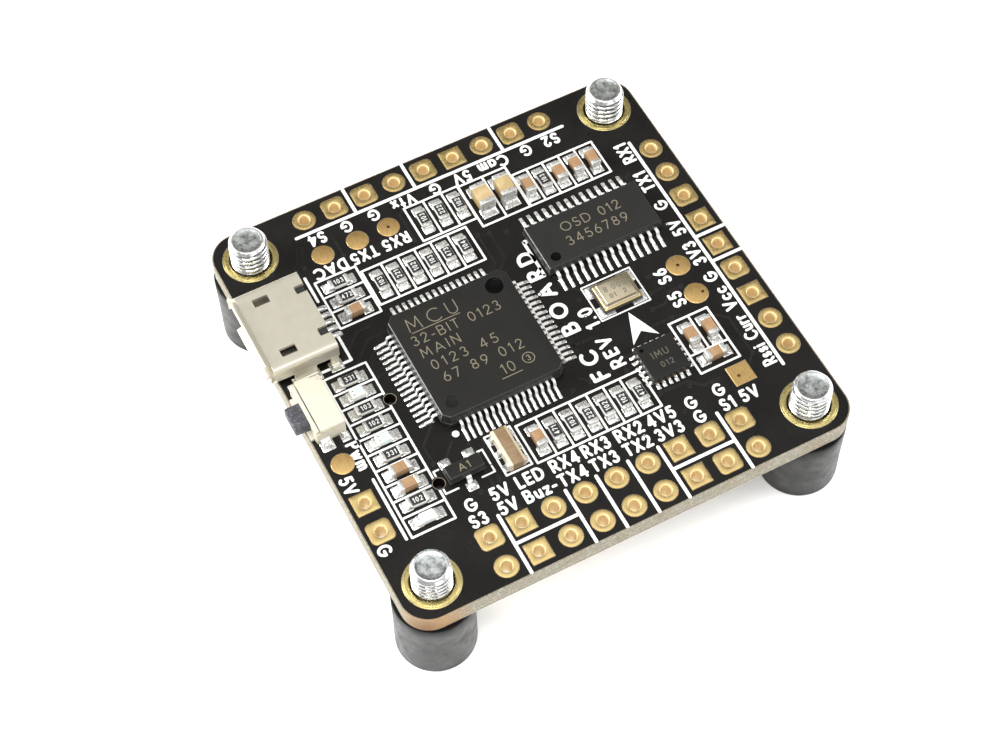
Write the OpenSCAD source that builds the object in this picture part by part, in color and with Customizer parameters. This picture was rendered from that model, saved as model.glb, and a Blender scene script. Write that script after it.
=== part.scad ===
// Flight controller board on four rubber standoffs.
// Millimetres, +Z up. The origin is the centre of the 30.5 mm hole pattern, on the plane the rubber feet stand on.
// +Y is the flight direction (the printed arrow), -X is the USB side.

/* [Board] */
// Side length of the square board
board_w = 36; // [36:0.1:36.6]
// Board thickness
board_t = 1.6; // [1.4:0.1:1.8]
// Corner radius of the board
corner_r = 2.2; // [1.6:0.1:2.6]
// Distance between mounting holes, centre to centre
hole_pitch = 30.5; // [30.4:0.1:30.6]
// Clear radius of a mounting hole
hole_r = 1.6; // [1.55:0.05:1.65]
// Outer radius of the gold ring around a mounting hole
ring_r = 2.1; // [1.95:0.05:2.2]
// Distance from the board's centre to the outer rows of wire pads
pad_edge = 16.62; // [16.5:0.02:16.7]
// Radius of the plated hole in a wire pad
pad_hole_r = 0.4; // [0.35:0.05:0.45]

/* [Standoffs] */
// Height of the underside of the board above the feet
stand_h = 7; // [6.5:0.5:10]
// Radius of the rubber body
damper_r = 3; // [2.8:0.1:3]
// Outer radius of the stud's thread
stud_r = 1.475; // [1.45:0.005:1.5]
// How far the stud stands above the board
stud_up = 2.5; // [2:0.1:6]
// Depth of the threaded hole in the foot
insert_depth = 3.6; // [3:0.1:3.8]

/* [USB port] */
// Width of the port's metal shell
usb_w = 7.4; // [7.2:0.1:7.6]
// Height of the shell above the board
usb_h = 2.6; // [2.5:0.05:2.7]
// Sheet thickness of the shell
usb_wall = 0.25; // [0.2:0.01:0.28]

/* [Button] */
// Height of the button's body
button_h = 1.65; // [1.6:0.05:1.8]
// Width of the pressed tab
plunger_w = 2; // [1.6:0.1:2]
// How far the tab can be pressed in
button_travel = 0.25; // [0.15:0.01:0.25]

/* [Chips] */
// Side of the square processor package
mcu_w = 10; // [9.8:0.1:10]
// Height of the processor's top face
mcu_h = 1.5; // [1.4:0.05:1.6]
// Length of the video overlay chip
osd_l = 9.7; // [9.6:0.1:9.8]
// Height of the video overlay chip's top face
osd_h = 1.1; // [1:0.05:1.2]

/* [Hidden] */
$fn = 48;

zb = stand_h;              // underside of the board
zt = stand_h + board_t;    // top of the board
gold_t = 0.05;             // thickness of the gold-plated copper
hp = hole_pitch / 2;
pitch = 2.54;              // wire pad grid
e = pad_edge;
peg_x = -11.36;            // locating pegs of the card socket
peg_y = [-0.72, -8.6];
peg_r = 0.45;

// wire pads: round, square and rounded, as [x, y]
round_at = [
    [-4*pitch, e], [-pitch, e], [2*pitch, e], [4*pitch, e],
    [e, 4*pitch], [e, 3*pitch], [e, -3*pitch], [e, -4*pitch],
    for (i = [-2 : 1]) [i*pitch, pitch - e],
    [-4*pitch, -e], for (i = [-2 : 1]) [i*pitch, -e], [4*pitch, -e]];
square_at = [
    [pitch, e], [e, pitch], [e, 0], [e, -2*pitch],
    [-3*pitch, pitch - e], [2*pitch, pitch - e], [-3*pitch, -e], [2*pitch, -e],
    [-16.7, -7.56]];
rounded_at = [
    [-3*pitch, e], [-2*pitch, e], [0, e], [3*pitch, e],
    [e, 2*pitch], [e, -pitch],
    [-4*pitch, pitch - e], [3*pitch, pitch - e], [4*pitch, pitch - e], [3*pitch, -e],
    [-16.7, -7.56 - pitch]];
corners = [[-hp, hp], [hp, hp], [-hp, -hp], [hp, -hp]];

// small parts, as [x, y, turn]
resistors = [
    [-10.3, 10.1, 0], [-10.3, 8.65, 0],
    for (i = [0 : 5]) [-7.5 + 1.4*i, 8.6, 90],
    [-2.1, 12.35, 90], [-0.6, 12.35, 90], [0.9, 12.35, 90],
    [7.75, 11.3, 90],
    for (i = [0 : 5]) [-2.1 + 1.39*i, -8.77, 90],
    [-13.3, 2, 0], [-13.3, -0.75, 0], [-13.3, -2.2, 0], [-13.3, -5, 0], [-13.3, -9.2, 0]];
capacitors = [
    [-10.3, 7.15, 0], [6.35, 11.3, 90], [9.1, 11.3, 90], [10.55, 11.3, 90], [11.95, 11.3, 90],
    [-3.5, -8.77, 90], [10.55, -6.35, 90], [12.1, -6.35, 90], [11.3, -8.55, 0],
    [-13.3, -6.45, 0], [-13.3, -7.85, 0]];
leds = [[-13.3, 0.65, 0], [-13.3, -3.6, 0], [-13.3, -10.7, 0]];
bulk_caps = [[2.7, 11.8, 90], [4.6, 11.8, 90]];
// small parts on the underside
under_resistors = [[4.5, -3, 90], [5.9, -3, 90], [3.2, 8.6, 0], [3.2, 10, 0]];
under_capacitors = [[11.6, -1.2, 90], [13, -1.2, 90], [12, 4.2, 0], [12, 6.2, 0], [-2.5, 8.4, 0]];

// a plate with rounded corners, standing on z = 0
module plate(w, d, h, r) {
    linear_extrude(h) {
        square([w - 2*r, d], center = true);
        square([w, d - 2*r], center = true);
        for (x = [-1, 1]) for (y = [-1, 1]) translate([x*(w/2 - r), y*(d/2 - r)]) circle(r);
    }
}

// a box between two corners
module span(x0, x1, y0, y1, z0, z1) {
    translate([x0, y0, z0]) cube([x1 - x0, y1 - y0, z1 - z0]);
}

// a plated through hole with a flange on each face of the board; the flange is the child
module eyelet() {
    translate([0, 0, zb]) difference() {
        union() {
            translate([0, 0, board_t]) children();
            translate([0, 0, -gold_t]) children();
            cylinder(r = pad_hole_r + 0.1, h = board_t);
        }
        translate([0, 0, -1]) cylinder(r = pad_hole_r, h = board_t + 2);
    }
}

module pcb() {
    color([0.05, 0.05, 0.06]) difference() {
        translate([0, 0, zb]) plate(board_w, board_w, board_t, corner_r);
        for (p = corners) translate([p[0], p[1], zb - 1]) cylinder(r = hole_r + 0.05, h = board_t + 2);
        for (p = concat(round_at, square_at, rounded_at))
            translate([p[0], p[1], zb - 1]) cylinder(r = pad_hole_r + 0.1, h = board_t + 2, $fn = 32);
        for (y = peg_y) translate([peg_x, y, zb - 1]) cylinder(r = peg_r, h = board_t + 2);
    }
}

module mount_rings() {
    color([0.85, 0.65, 0.3]) for (p = corners) translate([p[0], p[1], zb]) difference() {
        union() {
            translate([0, 0, board_t]) cylinder(r = ring_r, h = gold_t);
            translate([0, 0, -gold_t]) cylinder(r = ring_r, h = gold_t);
            cylinder(r = hole_r + 0.05, h = board_t);
        }
        translate([0, 0, -1]) cylinder(r = hole_r, h = board_t + 2);
    }
}

module round_pads() {
    color([0.9, 0.7, 0.35]) for (p = round_at) translate([p[0], p[1], 0]) eyelet() cylinder(r = 0.88, h = gold_t);
}

module square_pads() {
    color([0.9, 0.7, 0.35]) for (p = square_at) translate([p[0], p[1], 0]) eyelet()
        translate([-0.86, -0.86, 0]) cube([1.72, 1.72, gold_t]);
}

module rounded_pads() {
    color([0.9, 0.7, 0.35]) for (p = rounded_at) translate([p[0], p[1], 0]) eyelet() plate(1.8, 1.8, gold_t, 0.4);
}

// flat solder pads with no hole
module test_pads() {
    color([0.8, 0.6, 0.4]) {
        for (p = [[-10.25, 13.04], [-7.36, 13.04], [-4.75, 13.04], [-16.7, -3.98]])
            translate([p[0], p[1], zt]) cylinder(r = 0.85, h = gold_t);
        for (p = [[12.96, -0.36], [12.9, -3.17]]) translate([p[0], p[1], zt]) cylinder(r = 0.9, h = gold_t);
        span(11.38, 13.08, -11.59, -9.89, zt, zt + gold_t);
    }
}

// ---- USB port: centred on usb_y, its mouth towards -X
usb_y = 7.35;
usb_x0 = -18.2;            // front of the straight shell
usb_x1 = -13.2;            // back of the shell
uw = usb_w / 2;

module usb_section(g) {
    polygon([[-uw + g, usb_h - g], [uw - g, usb_h - g], [uw - g, 1.35 + g/3], [uw - 0.65 - g*0.6, 0.15 + g],
        [-uw + 0.65 + g*0.6, 0.15 + g], [-uw + g, 1.35 + g/3]]);
}

// turns a section drawn in Y and Z into a bar along +X of length l
module along_x(l) {
    rotate([90, 0, 90]) linear_extrude(l) children();
}

// turns a section drawn in X and Z into a bar along Y, centred
module along_y(l) {
    rotate([90, 0, 0]) translate([0, 0, -l/2]) linear_extrude(l) children();
}

module usb_shell() {
    color([0.78, 0.76, 0.7]) translate([0, usb_y, zt]) {
        difference() {
            translate([usb_x0, 0, 0]) along_x(usb_x1 - usb_x0) usb_section(0);
            translate([usb_x0 - 1, 0, 0]) along_x(usb_x1 - usb_x0 + 2) usb_section(usb_wall);
            for (y = [-2.4, 2.4]) {
                span(-17.2, -15.96, y - 0.35, y + 0.35, usb_h - 1, usb_h + 1);
                span(-14, usb_x1 + 1, y*0.85 - 0.35, y*0.85 + 0.35, usb_h - 1, usb_h + 1);
            }
        }
        // flared lips round the mouth
        along_y(usb_w - 1.2) polygon([[usb_x0, usb_h - usb_wall], [usb_x0, usb_h], [usb_x0 - 0.5, usb_h + 0.3], [usb_x0 - 0.5, usb_h + 0.05]]);
        along_y(usb_w - 2.2) polygon([[usb_x0, 0.15], [usb_x0, 0.15 + usb_wall], [usb_x0 - 0.5, 0.15], [usb_x0 - 0.5, -0.1]]);
        // soldered feet
        for (s = [-1, 1]) {
            span(-16.8, -15, s > 0 ? uw - 1.2 : -uw - 0.1, s > 0 ? uw + 0.1 : -uw + 1.2, 0, 0.15);
            span(-13.9, -13.25, s > 0 ? uw - 1.2 : -uw, s > 0 ? uw : -uw + 1.2, 0, 0.15);
        }
    }
}

module usb_strip(y) {
    span(-17.4, -12.95, y - 0.12, y + 0.12, 1.3, 1.42);
    span(-13.07, -12.95, y - 0.12, y + 0.12, 0, 1.42);
    span(-13.07, -12.3, y - 0.12, y + 0.12, 0, 0.12);
}

module usb_contacts() {
    color([0.85, 0.7, 0.4]) translate([0, usb_y, zt]) for (i = [-2 : 2]) usb_strip(i*0.65);
}

module usb_insulator() {
    color([0.1, 0.1, 0.1]) translate([0, usb_y, zt]) difference() {
        union() {
            span(-17.6, -15.2, -2, 2, 1.42, 1.95);
            span(-15.2, -13.2, -2.7, 2.7, 0.45, 2.3);
        }
        for (i = [-2 : 2]) usb_strip(i*0.65);
    }
}

// ---- side-push button: the tab faces -X
bt_y = 0.58;               // centre of the body along Y
bt_w = 4.65;               // width of the body along Y
bt_x0 = -17.6;             // front of the body
bt_x1 = -15.3;             // back of the body
bt_in = -17.25;            // inner face of the front wall
pl_y = 0.4;                // centre of the tab along Y
pl_z0 = 0.36;
pl_z1 = button_h - 0.39;

module button_base() {
    color([0.88, 0.85, 0.76]) translate([0, 0, zt]) difference() {
        union() {
            span(bt_x0, bt_x1, bt_y - bt_w/2, bt_y + bt_w/2, 0, button_h - 0.35);
            span(-17.9, bt_x0, bt_y - 1.9, bt_y + 1.9, 0, 0.3);
        }
        span(bt_in, -15.65, bt_y - 1.9, bt_y + 1.9, 0.3, button_h);
        span(-18.5, bt_in + 0.1, pl_y - plunger_w/2 - 0.06, pl_y + plunger_w/2 + 0.06, 0.3, button_h);
    }
}

module button_cover() {
    color([0.93, 0.91, 0.84]) span(bt_x0, bt_x1, bt_y - bt_w/2, bt_y + bt_w/2, zt + button_h - 0.35, zt + button_h);
}

module button_terminals() {
    color([0.8, 0.8, 0.8]) translate([0, bt_y, zt]) for (s = [-1, 1]) {
        span(-17.35, -16.65, s > 0 ? bt_w/2 : -bt_w/2 - 0.3, s > 0 ? bt_w/2 + 0.3 : -bt_w/2, 0, 0.5);
        span(-15.75, -15.35, s > 0 ? bt_w/2 : -bt_w/2 - 0.15, s > 0 ? bt_w/2 + 0.15 : -bt_w/2, 0, 0.35);
    }
}

module button_plunger() {
    color([0.3, 0.3, 0.32]) translate([0, pl_y, zt]) {
        span(-18.75, bt_in, -plunger_w/2, plunger_w/2, pl_z0, pl_z1);
        span(bt_in, bt_in + 0.3, -plunger_w/2 - 0.35, plunger_w/2 + 0.35, pl_z0, pl_z1);
    }
}

// bowed snap spring behind the tab; the tab meets its crown at full travel
module button_dome() {
    color([0.75, 0.75, 0.72]) translate([0, pl_y, zt]) intersection() {
        translate([bt_in + 0.32 + button_travel + 2, 0, pl_z0]) difference() {
            cylinder(r = 2, h = pl_z1 - pl_z0, $fn = 96);
            translate([0, 0, -1]) cylinder(r = 1.92, h = 3, $fn = 96);
        }
        span(bt_in + 0.3 + button_travel, -15.7, -1.6, 1.6, 0, 2);
    }
}

// ---- leaded packages
// a gull-wing lead whose foot ends at x = reach and whose top meets the body at x = body, width w
module gull(body, reach, h, w) {
    t = 0.12;
    translate([0, 0, zt]) along_y(w) polygon([[body, h], [body, h + t], [body + 0.32, h + t], [body + 0.46, t],
        [reach, t], [reach, 0], [body + 0.36, 0], [body + 0.22, h]]);
}

module mould_mark(x, y, r, top) {
    translate([x, y, top - 0.06]) cylinder(r = r, h = 1);
}

mcu_x = -4.1;
mcu_y = -0.1;

module mcu_package() {
    a = mcu_w / 2;
    c = 0.55;
    color([0.16, 0.16, 0.17]) difference() {
        translate([mcu_x, mcu_y, zt + 0.1]) linear_extrude(mcu_h - 0.1)
            polygon([[-a + c, -a], [a - c, -a], [a, -a + c], [a, a - c], [a - c, a], [-a + c, a], [-a, a - c], [-a, -a + c]]);
        mould_mark(mcu_x + 3.55, mcu_y + 3.7, 0.7, zt + mcu_h);
        mould_mark(mcu_x - 3.75, mcu_y - 3.75, 0.5, zt + mcu_h);
    }
}

module mcu_leads() {
    color([0.8, 0.8, 0.8]) translate([mcu_x, mcu_y, 0]) for (side = [0 : 3]) rotate([0, 0, 90*side])
        for (i = [0 : 15]) translate([0, (i - 7.5)*0.5, 0]) gull(mcu_w/2, 6, 0.7, 0.22);
}

osd_x = 8.7;
osd_y = 5.3;

module osd_package() {
    color([0.16, 0.16, 0.17]) difference() {
        span(osd_x - osd_l/2, osd_x + osd_l/2, osd_y - 2.2, osd_y + 2.2, zt + 0.1, zt + osd_h);
        mould_mark(osd_x - osd_l/2 + 1, osd_y - 1.3, 0.4, zt + osd_h);
    }
}

module osd_leads() {
    color([0.8, 0.8, 0.8]) translate([osd_x, osd_y, 0]) for (s = [90, 270]) rotate([0, 0, s])
        for (i = [0 : 13]) translate([0, (i - 6.5)*0.65, 0]) gull(2.2, 3.2, 0.5, 0.25);
}

module crystal_base() {
    color([0.75, 0.6, 0.35]) translate([7.55, -0.45, zt]) plate(3.2, 2.5, 0.5, 0.15);
}

module crystal_lid() {
    color([0.8, 0.78, 0.7]) translate([7.55, -0.45, zt + 0.5]) plate(2.8, 2.1, 0.3, 0.3);
}

module resonator_body() {
    color([0.7, 0.6, 0.5]) span(-6.45, -5.15, -10.15, -6.95, zt + 0.05, zt + 0.8);
}

module resonator_terminals() {
    color([0.85, 0.84, 0.8]) translate([-5.8, -8.55, zt]) {
        for (y = [-1.2, 0, 1.2]) {
            span(-0.75, 0.75, y - 0.2, y + 0.2, 0, 0.05);
            for (s = [-1, 1]) span(s > 0 ? 0.65 : -0.75, s > 0 ? 0.75 : -0.65, y - 0.2, y + 0.2, 0.05, 0.5);
        }
    }
}

module imu_package() {
    color([0.14, 0.14, 0.15]) span(6.05, 9.15, -8.75, -5.65, zt + 0.05, zt + 0.8);
}

module imu_pads() {
    color([0.8, 0.78, 0.7]) translate([7.6, -7.2, zt]) for (side = [0 : 3]) rotate([0, 0, 90*side])
        for (i = [0 : 5]) span(1.25, 1.75, (i - 2.5)*0.5 - 0.13, (i - 2.5)*0.5 + 0.13, 0, 0.05);
}

module transistor_body() {
    color([0.13, 0.13, 0.14]) span(-10.8, -7.9, -9.3, -8, zt + 0.1, zt + 1);
}

module transistor_leads() {
    color([0.8, 0.8, 0.8]) translate([-9.35, -8.65, 0]) {
        rotate([0, 0, 90]) for (x = [-0.95, 0.95]) translate([0, x, 0]) gull(0.65, 1.25, 0.45, 0.4);
        rotate([0, 0, 270]) gull(0.65, 1.25, 0.45, 0.4);
    }
}

// ---- two-ended parts: middle and end caps, length l, width w, height h, cap length c
module chip_middle(l, w, h, c) {
    span(-l/2 + c, l/2 - c, -w/2 + 0.01, w/2 - 0.01, 0.02, h - 0.02);
}

module chip_ends(l, w, h, c) {
    for (s = [-1, 1]) span(s > 0 ? l/2 - c : -l/2, s > 0 ? l/2 : -l/2 + c, -w/2, w/2, 0, h);
}

module on_top(list) {
    for (p = list) translate([p[0], p[1], zt]) rotate([0, 0, p[2]]) children();
}

module underneath(list) {
    for (p = list) translate([p[0], p[1], zb]) mirror([0, 0, 1]) rotate([0, 0, p[2]]) children();
}

module resistor_bodies() {
    color([0.1, 0.1, 0.1]) {
        on_top(resistors) chip_middle(1.6, 0.8, 0.45, 0.3);
        underneath(under_resistors) chip_middle(1.6, 0.8, 0.45, 0.3);
    }
}

module resistor_terminals() {
    color([0.85, 0.85, 0.85]) {
        on_top(resistors) chip_ends(1.6, 0.8, 0.45, 0.3);
        underneath(under_resistors) chip_ends(1.6, 0.8, 0.45, 0.3);
    }
}

module capacitor_bodies() {
    color([0.72, 0.5, 0.33]) {
        on_top(capacitors) chip_middle(1.6, 0.8, 0.8, 0.35);
        underneath(under_capacitors) chip_middle(1.6, 0.8, 0.8, 0.35);
    }
}

module capacitor_terminals() {
    color([0.85, 0.85, 0.85]) {
        on_top(capacitors) chip_ends(1.6, 0.8, 0.8, 0.35);
        underneath(under_capacitors) chip_ends(1.6, 0.8, 0.8, 0.35);
    }
}

module bulk_capacitor_bodies() {
    color([0.78, 0.68, 0.45]) on_top(bulk_caps) chip_middle(2, 1.25, 1.25, 0.4);
}

module bulk_capacitor_terminals() {
    color([0.85, 0.85, 0.85]) on_top(bulk_caps) chip_ends(2, 1.25, 1.25, 0.4);
}

module led_bases() {
    color([0.9, 0.9, 0.85]) on_top(leds) span(-0.55, 0.55, -0.4, 0.4, 0.02, 0.25);
}

module led_lenses() {
    color([0.95, 0.95, 0.9]) on_top(leds) span(-0.55, 0.55, -0.38, 0.38, 0.25, 0.55);
}

module led_terminals() {
    color([0.85, 0.85, 0.85]) on_top(leds) chip_ends(1.6, 0.8, 0.25, 0.25);
}

// ---- memory card socket on the underside, its mouth towards -X
sd_x0 = -15.6;
sd_x1 = -1;
sd_y0 = -11.66;
sd_y1 = 2.34;
sd_z = zb - 1.85;

module microsd_shell() {
    color([0.75, 0.75, 0.75]) difference() {
        span(sd_x0, sd_x1, sd_y0, sd_y1, sd_z, zb);
        span(sd_x0 - 1, sd_x1 + 1, sd_y0 + 0.2, sd_y1 - 0.2, sd_z + 0.2, zb + 1);
        // thumb notch at the mouth and a window over the contacts
        translate([sd_x0, (sd_y0 + sd_y1)/2 + 1, sd_z - 1]) cylinder(r = 2.4, h = 1.5);
        span(-7.6, -5.6, -7.5, 0.5, sd_z - 1, sd_z + 0.5);
    }
}

module sd_strip(y) {
    span(-8, -0.85, y - 0.2, y + 0.2, zb - 0.65, zb - 0.5);
    span(-1, -0.85, y - 0.2, y + 0.2, zb - 0.65, zb);
    span(-1, -0.3, y - 0.2, y + 0.2, zb - 0.15, zb);
}

module microsd_contacts() {
    color([0.85, 0.7, 0.4]) for (i = [0 : 7]) sd_strip(-7.9 + 1.1*i);
}

module microsd_base() {
    color([0.1, 0.1, 0.1]) {
        difference() {
            union() {
                span(sd_x0 + 0.2, sd_x1 - 0.1, sd_y0 + 0.2, sd_y1 - 0.2, zb - 0.25, zb);
                span(-3, -1.1, sd_y0 + 0.2, sd_y1 - 0.2, sd_z + 0.2, zb - 0.25);
                span(sd_x0 + 0.2, -11, sd_y0 + 0.2, sd_y0 + 2.2, sd_z + 0.2, zb - 0.25);
                for (y = peg_y) translate([peg_x, y, zb - 0.2]) cylinder(r = peg_r - 0.03, h = 1.3);
            }
            for (i = [0 : 7]) sd_strip(-7.9 + 1.1*i);
        }
    }
}

// cam slider beside the card; a card moves it in and it springs back
module microsd_slider() {
    color([0.85, 0.85, 0.8]) {
        span(-10.6, -6.4, sd_y0 + 0.35, sd_y0 + 1.75, sd_z + 0.3, zb - 0.35);
        span(-7.2, -6.4, sd_y0 + 1.75, sd_y0 + 2.9, sd_z + 0.3, zb - 0.75);
    }
}

module barometer_base() {
    color([0.1, 0.1, 0.1]) translate([9, -3, zb - 0.3]) plate(2.5, 2, 0.3, 0.1);
}

module barometer_lid() {
    color([0.75, 0.75, 0.75]) translate([9, -3, zb - 0.95]) difference() {
        plate(2.3, 1.8, 0.65, 0.2);
        translate([0.6, 0.4, -1]) cylinder(r = 0.15, h = 1.3);
        translate([0, 0, 0.15]) plate(2, 1.5, 1, 0.15);
    }
}

module regulator_body() {
    color([0.13, 0.13, 0.14]) span(6.6, 9.5, 4.7, 6.3, zb - 1.1, zb - 0.1);
}

module regulator_leads() {
    color([0.8, 0.8, 0.8]) translate([8.05, 5.5, zb + zt]) mirror([0, 0, 1]) {
        rotate([0, 0, 90]) for (x = [-0.95, 0, 0.95]) translate([0, x, 0]) gull(0.8, 1.4, 0.45, 0.35);
        rotate([0, 0, 270]) for (x = [-0.95, 0.95]) translate([0, x, 0]) gull(0.8, 1.4, 0.45, 0.35);
    }
}

// ---- rubber standoffs
foot_top = stand_h - gold_t;

// the stud's head lies flush in the top of the rubber, and its threaded end passes through the board
module stud() {
    color([0.8, 0.8, 0.82]) rotate_extrude($fn = 64) polygon([
        [0, foot_top - 1], [2.2, foot_top - 1], [2.2, foot_top], [1.3, foot_top], [1.3, zt + 0.1],
        [stud_r, zt + 0.1], [stud_r, zt + stud_up - 0.35], [stud_r - 0.35, zt + stud_up], [0, zt + stud_up]]);
}

// threaded insert in the foot, open downwards
module insert() {
    color([0.75, 0.75, 0.76]) difference() {
        union() {
            cylinder(r = 2.2, h = 0.8);
            cylinder(r = 1.9, h = insert_depth + 0.5);
        }
        translate([0, 0, -1]) cylinder(r = 1.25, h = insert_depth + 1);
    }
}

module damper() {
    color([0.15, 0.15, 0.16]) difference() {
        rotate_extrude($fn = 64) polygon([[0, 0], [damper_r - 0.15, 0], [damper_r, 0.15],
            [damper_r, foot_top - 0.15], [damper_r - 0.15, foot_top], [0, foot_top]]);
        translate([0, 0, -1]) cylinder(r = 2.2, h = 1.8);
        cylinder(r = 1.9, h = insert_depth + 0.5);
        translate([0, 0, foot_top - 1]) cylinder(r = 2.2, h = 2);
    }
}

module at_corner(i) {
    translate([corners[i][0], corners[i][1], 0]) children();
}

module damper_front_left() { at_corner(0) damper(); }
module damper_front_right() { at_corner(1) damper(); }
module damper_rear_left() { at_corner(2) damper(); }
module damper_rear_right() { at_corner(3) damper(); }
module stud_front_left() { at_corner(0) stud(); }
module stud_front_right() { at_corner(1) stud(); }
module stud_rear_left() { at_corner(2) stud(); }
module stud_rear_right() { at_corner(3) stud(); }
module insert_front_left() { at_corner(0) insert(); }
module insert_front_right() { at_corner(1) insert(); }
module insert_rear_left() { at_corner(2) insert(); }
module insert_rear_right() { at_corner(3) insert(); }

pcb();
mount_rings();
round_pads();
square_pads();
rounded_pads();
test_pads();
usb_shell();
usb_insulator();
usb_contacts();
button_base();
button_cover();
button_terminals();
button_plunger();
button_dome();
mcu_package();
mcu_leads();
osd_package();
osd_leads();
crystal_base();
crystal_lid();
resonator_body();
resonator_terminals();
imu_package();
imu_pads();
transistor_body();
transistor_leads();
resistor_bodies();
resistor_terminals();
capacitor_bodies();
capacitor_terminals();
bulk_capacitor_bodies();
bulk_capacitor_terminals();
led_bases();
led_lenses();
led_terminals();
microsd_shell();
microsd_base();
microsd_contacts();
microsd_slider();
barometer_base();
barometer_lid();
regulator_body();
regulator_leads();
damper_front_left();
damper_front_right();
damper_rear_left();
damper_rear_right();
stud_front_left();
stud_front_right();
stud_rear_left();
stud_rear_right();
insert_front_left();
insert_front_right();
insert_rear_left();
insert_rear_right();
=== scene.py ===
import bpy, bmesh, math, random
import numpy as np
from mathutils import Vector, Matrix
from mathutils.geometry import delaunay_2d_cdt


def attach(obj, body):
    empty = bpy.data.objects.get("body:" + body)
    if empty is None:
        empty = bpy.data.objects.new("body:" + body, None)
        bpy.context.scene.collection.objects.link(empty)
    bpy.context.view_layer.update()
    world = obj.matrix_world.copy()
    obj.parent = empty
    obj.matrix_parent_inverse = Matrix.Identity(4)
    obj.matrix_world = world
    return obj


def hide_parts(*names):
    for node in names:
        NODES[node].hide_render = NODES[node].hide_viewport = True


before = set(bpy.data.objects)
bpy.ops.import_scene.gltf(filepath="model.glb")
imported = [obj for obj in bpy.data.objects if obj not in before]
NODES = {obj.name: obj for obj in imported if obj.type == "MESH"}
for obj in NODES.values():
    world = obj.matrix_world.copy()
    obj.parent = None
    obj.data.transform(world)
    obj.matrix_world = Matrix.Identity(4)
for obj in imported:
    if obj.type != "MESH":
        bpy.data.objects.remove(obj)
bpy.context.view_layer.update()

rng = random.Random(7)


# ---------------------------------------------------------------- geometry, in millimetres
class G:
    """A bag of vertices and faces with a material number per face."""

    def __init__(s, v=None, f=None, m=None):
        s.v = np.zeros((0, 3)) if v is None else np.asarray(v, float).reshape(-1, 3)
        s.f = [tuple(int(i) for i in x) for x in (f or [])]
        s.m = list(m) if m is not None else [0] * len(s.f)

    def __add__(s, o):
        n = len(s.v)
        return G(np.vstack([s.v, o.v]), s.f + [tuple(i + n for i in x) for x in o.f], s.m + o.m)

    def mat(s, i):
        return G(s.v, s.f, [i] * len(s.f))

    def at(s, x=0, y=0, z=0, rz=0, mirror=False):
        v = s.v.copy()
        f = s.f
        if mirror:
            v[:, 2] *= -1
            f = [t[::-1] for t in f]
        if rz:
            c, n = math.cos(math.radians(rz)), math.sin(math.radians(rz))
            v = np.stack([c * v[:, 0] - n * v[:, 1], n * v[:, 0] + c * v[:, 1], v[:, 2]], 1)
        return G(v + np.array([x, y, z]), f, s.m)

    def flipped(s):
        return G(s.v, [t[::-1] for t in s.f], s.m)

    def bevel(s, w, seg=2, ang=32):
        bm = bmesh.new()
        vs = [bm.verts.new(p) for p in s.v]
        for t, k in zip(s.f, s.m):
            try:
                bm.faces.new([vs[i] for i in t]).material_index = k
            except ValueError:
                pass
        bm.normal_update()
        es = [e for e in bm.edges if len(e.link_faces) == 2 and e.calc_face_angle(0) > math.radians(ang)]
        bmesh.ops.bevel(bm, geom=es, offset=w, segments=seg, profile=0.5, affect='EDGES', clamp_overlap=True)
        bm.verts.index_update()
        out = G([v.co[:] for v in bm.verts], [[v.index for v in f.verts] for f in bm.faces], [f.material_index for f in bm.faces])
        bm.free()
        return out


def total(parts):
    parts = list(parts)
    n, vs, fs, ms = 0, [], [], []
    for p in parts:
        vs.append(p.v)
        fs += [tuple(i + n for i in t) for t in p.f]
        ms += p.m
        n += len(p.v)
    return G(np.vstack(vs), fs, ms) if parts else G()


def box(x0, x1, y0, y1, z0, z1, m=0):
    v = [(x, y, z) for z in (z0, z1) for y in (y0, y1) for x in (x0, x1)]
    f = [(0, 2, 3, 1), (4, 5, 7, 6), (0, 1, 5, 4), (2, 6, 7, 3), (0, 4, 6, 2), (1, 3, 7, 5)]
    return G(v, f, [m] * 6)


def loops(rings, m=0, cap0=True, cap1=True, closed=True):
    """Skins a stack of equally long rings of points. Rings run counter-clockwise seen from the last ring's side."""
    n = len(rings[0])
    v = np.vstack([np.asarray(r, float) for r in rings])
    f = []
    for k in range(len(rings) - 1):
        for i in range(n if closed else n - 1):
            j = (i + 1) % n
            f.append((k * n + i, k * n + j, (k + 1) * n + j, (k + 1) * n + i))
    if cap0:
        f.append(tuple(range(n))[::-1])
    if cap1:
        f.append(tuple((len(rings) - 1) * n + i for i in range(n)))
    return G(v, f, [m] * len(f))


def flat(pts, z):
    return [(p[0], p[1], z) for p in pts]


def circle(r, n=48, cx=0, cy=0, a0=0):
    return [(cx + r * math.cos(a0 + 2 * math.pi * i / n), cy + r * math.sin(a0 + 2 * math.pi * i / n)) for i in range(n)]


def lathe(prof, n=48, m=0, cap0=True, cap1=True):
    """Profile of (r, z) from the bottom up the outside to the top."""
    return loops([flat(circle(r, n), z) for r, z in prof], m, cap0, cap1)


def ring_lathe(prof, n=48, m=0):
    """A closed profile of (r, z), counter-clockwise in the r, z plane."""
    rs = [flat(circle(r, n), z) for r, z in prof]
    return loops(rs + [rs[0]], m, False, False)


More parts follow.
